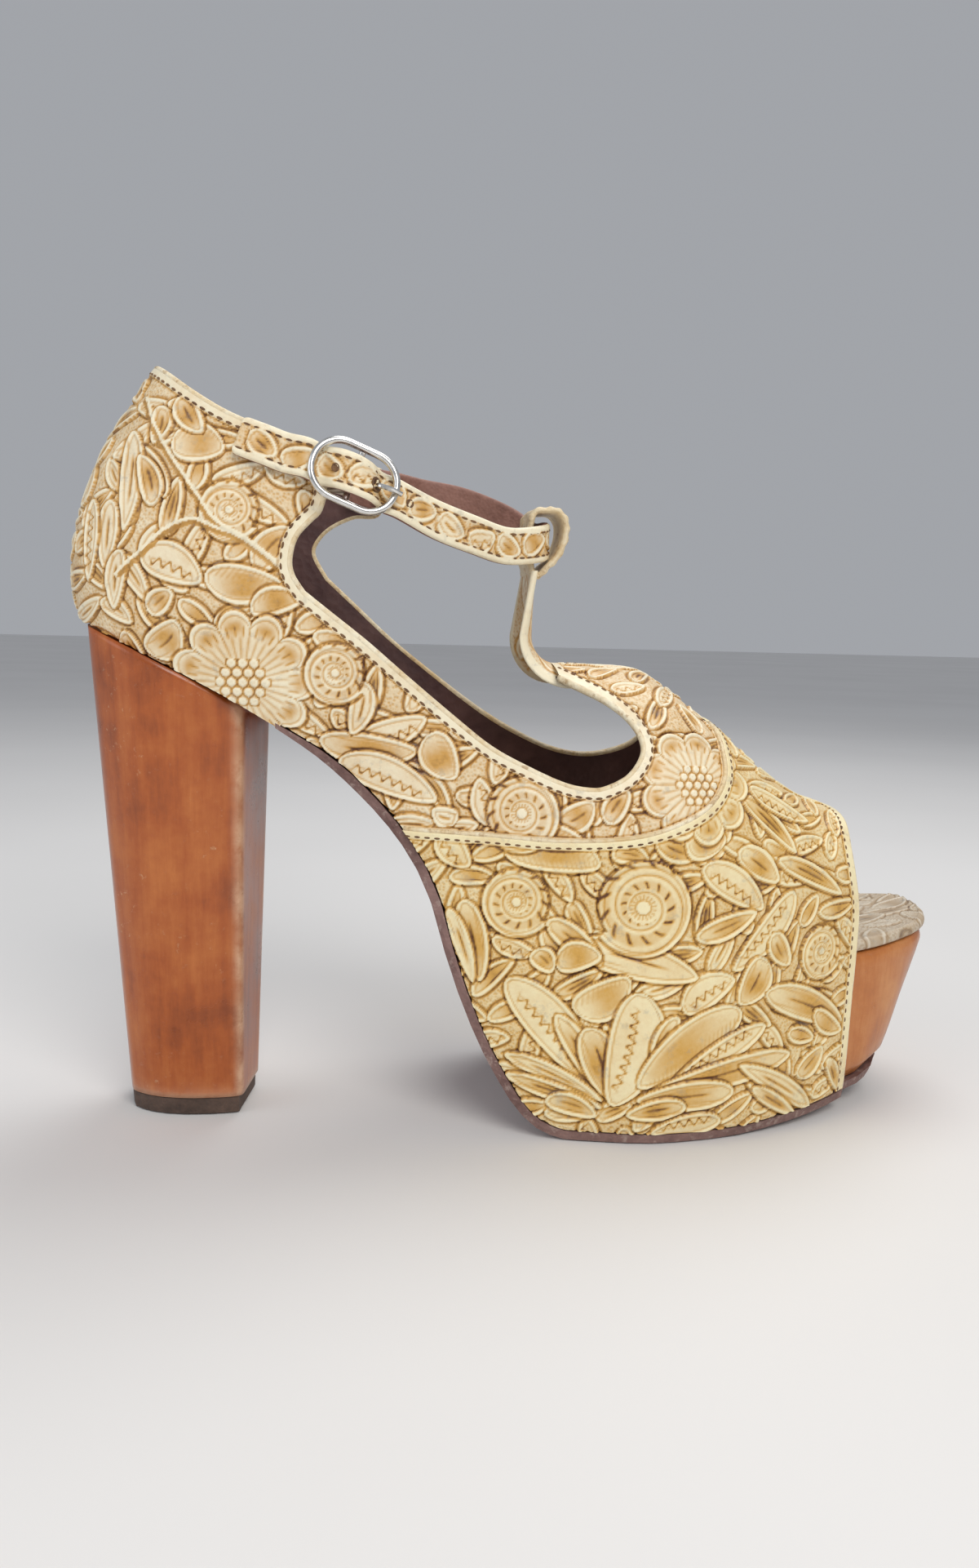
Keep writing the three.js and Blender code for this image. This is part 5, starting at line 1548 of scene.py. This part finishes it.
heel_low = heel_points(LIFT_HEIGHT + CLEARANCE)
heel_high = heel_points(FOOTBED_BACK)
under_line = sole_line(lambda s: 0 * s, -0.05, 0.3, 120)
rings = []
rise = FOOTBED_BACK - LIFT_HEIGHT - CLEARANCE
ceiling = np.interp(heel_high[:, 0], under_line[:, 0], under_line[:, 1])
for _ in range(6):
    share = (ceiling - LIFT_HEIGHT - CLEARANCE) / rise
    x = heel_low[:, 0] + (heel_high[:, 0] - heel_low[:, 0]) * share
    ceiling = np.interp(x, under_line[:, 0], under_line[:, 1]) - 0.05
for level in np.linspace(0, 1, HEEL_LEVELS):
    share = level * (ceiling - LIFT_HEIGHT - CLEARANCE) / rise
    rings.append(heel_low + (heel_high - heel_low) * share[:, None])
turn_in = np.roll(heel_high, -2, 0) - 2 * heel_high + np.roll(heel_high, 2, 0)
sharp = np.linalg.norm(turn_in[:, :2], axis=1)
at_breast = heel_high[:, 0] > HEEL_BACK_INSET + 0.6 * HEEL_TOP[0]
sharp = np.clip(sharp / sharp.max() * 1.4 - 0.25, 0, 1) * at_breast
level = np.linspace(0, 1, HEEL_LEVELS)[:, None]
worn = np.clip(sharp[None] * (0.75 + 0.25 * np.sin(level * 40)), 0, 1)
worn = np.maximum(worn, np.exp(-level / 0.012) * 0.6)
make("heel_block", *swept(rings), HEEL_WOOD, ["heel"], "heel_wood", {"worn": padded(worn.ravel(), 0)})

# Stitches, as one mesh of small rounded threads
all_points, all_faces = [], []
start = 0
angle = np.linspace(0, 2 * np.pi, 6, endpoint=False)
for place, ahead, up, length, radius in stitches:
    beside = unit(np.cross(ahead, up))
    up = np.cross(beside, ahead)
    for at, a, b, n in zip(place, ahead, beside, up):
        rings = []
        for t, r in ((-0.5, 0.35), (-0.3, 0.9), (0, 1), (0.3, 0.9), (0.5, 0.35)):
            ring = np.cos(angle)[:, None] * b + np.sin(angle)[:, None] * n
            rings.append(at + a * t * length + ring * radius * r - n * abs(t) * 0.25)
        points, faces = swept(rings)
        all_points.append(points)
        all_faces += [[k + start for k in face] for face in faces]
        start += len(points)
make("stitching", np.concatenate(all_points), all_faces, THREAD, None, "upper_leather")

# Nodes whose own shape is kept
for node, material in (
    ("outsole", SOLE_LEATHER), ("top_lift", RUBBER), ("buckle_prong", NICKEL), ("elastic_tab", ELASTIC),
):
    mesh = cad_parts[node].data
    mesh.materials.clear()
    mesh.materials.append(material)

# Floor, light and camera: lengths in metres, the camera's place in the shoe's millimetres
FLOOR_GAP = 0.0004
CAMERA_AT = (57.6, -324.5, 130.6)
CAMERA_BEARING, CAMERA_PITCH, CAMERA_ROLL = math.radians(9), math.radians(7.68), math.atan(0.0274)
FOCAL_SHARE = 1483 / 1921
SENSOR = 36
floor_mesh = bpy.data.meshes.new("floor")
half = 6.0
corners = [(-half, -half, 0), (half, -half, 0), (half, half, 0), (-half, half, 0)]
floor_mesh.from_pydata(corners, [], [(0, 1, 2, 3)])
floor = bpy.data.objects.new("floor", floor_mesh)
bpy.context.scene.collection.objects.link(floor)
floor_material, tree, shader = new_material("floor_plain")
shade = ramp(tree, noise(tree, 3, 2), [(0.3, (0.74, 0.73, 0.72)), (0.7, (0.78, 0.77, 0.76))])
link(tree, shade, shader.inputs["Base Color"])
shader.inputs["Roughness"].default_value = 0.8
floor_mesh.materials.append(floor_material)
floor.location.z = -FLOOR_GAP

bpy.context.scene.view_settings.view_transform = "Standard"
world = bpy.data.worlds.new("studio")
bpy.context.scene.world = world
world.use_nodes = True
world.node_tree.nodes["Background"].inputs[0].default_value = (0.86, 0.89, 0.95, 1)
world.node_tree.nodes["Background"].inputs[1].default_value = 0.42


def area_light(name, at, aim, width, power, color):
    light = bpy.data.lights.new(name, "AREA")
    light.shape = "DISK"
    light.size = width
    light.energy = power
    light.color = color
    holder = bpy.data.objects.new(name, light)
    holder.location = at
    holder.rotation_euler = (Vector(aim) - Vector(at)).to_track_quat("-Z", "Y").to_euler()
    bpy.context.scene.collection.objects.link(holder)


area_light("key", (0.15, -0.75, 0.75), (0, 0, 0.08), 0.6, 5.2, (1.0, 0.97, 0.92))
area_light("fill", (-0.9, -0.35, 0.45), (0, 0, 0.1), 0.8, 2.0, (0.9, 0.94, 1.0))
area_light("top", (0.25, 0.35, 0.95), (0, 0, 0.08), 0.7, 4.2, (1.0, 0.99, 0.97))

camera_data = bpy.data.cameras.new("camera")
camera = bpy.data.objects.new("camera", camera_data)
bpy.context.scene.collection.objects.link(camera)
bearing, pitch, roll = CAMERA_BEARING, CAMERA_PITCH, CAMERA_ROLL
right = Vector((math.cos(bearing), -math.sin(bearing), 0))
forward = Vector((math.sin(bearing) * math.cos(pitch), math.cos(bearing) * math.cos(pitch), -math.sin(pitch)))
upward = right.cross(forward)
turned_right = right * math.cos(roll) + upward * math.sin(roll)
turned_up = upward * math.cos(roll) - right * math.sin(roll)
eye = (Vector(CAMERA_AT) + Vector(OFFSET.tolist())) * 0.001
camera.matrix_world = Matrix(
    [[turned_right[i], turned_up[i], -forward[i], eye[i]] for i in range(3)] + [[0, 0, 0, 1]]
)
camera_data.sensor_width = SENSOR
camera_data.lens = FOCAL_SHARE * SENSOR
camera_data.clip_start = 0.01
bpy.context.scene.camera = camera
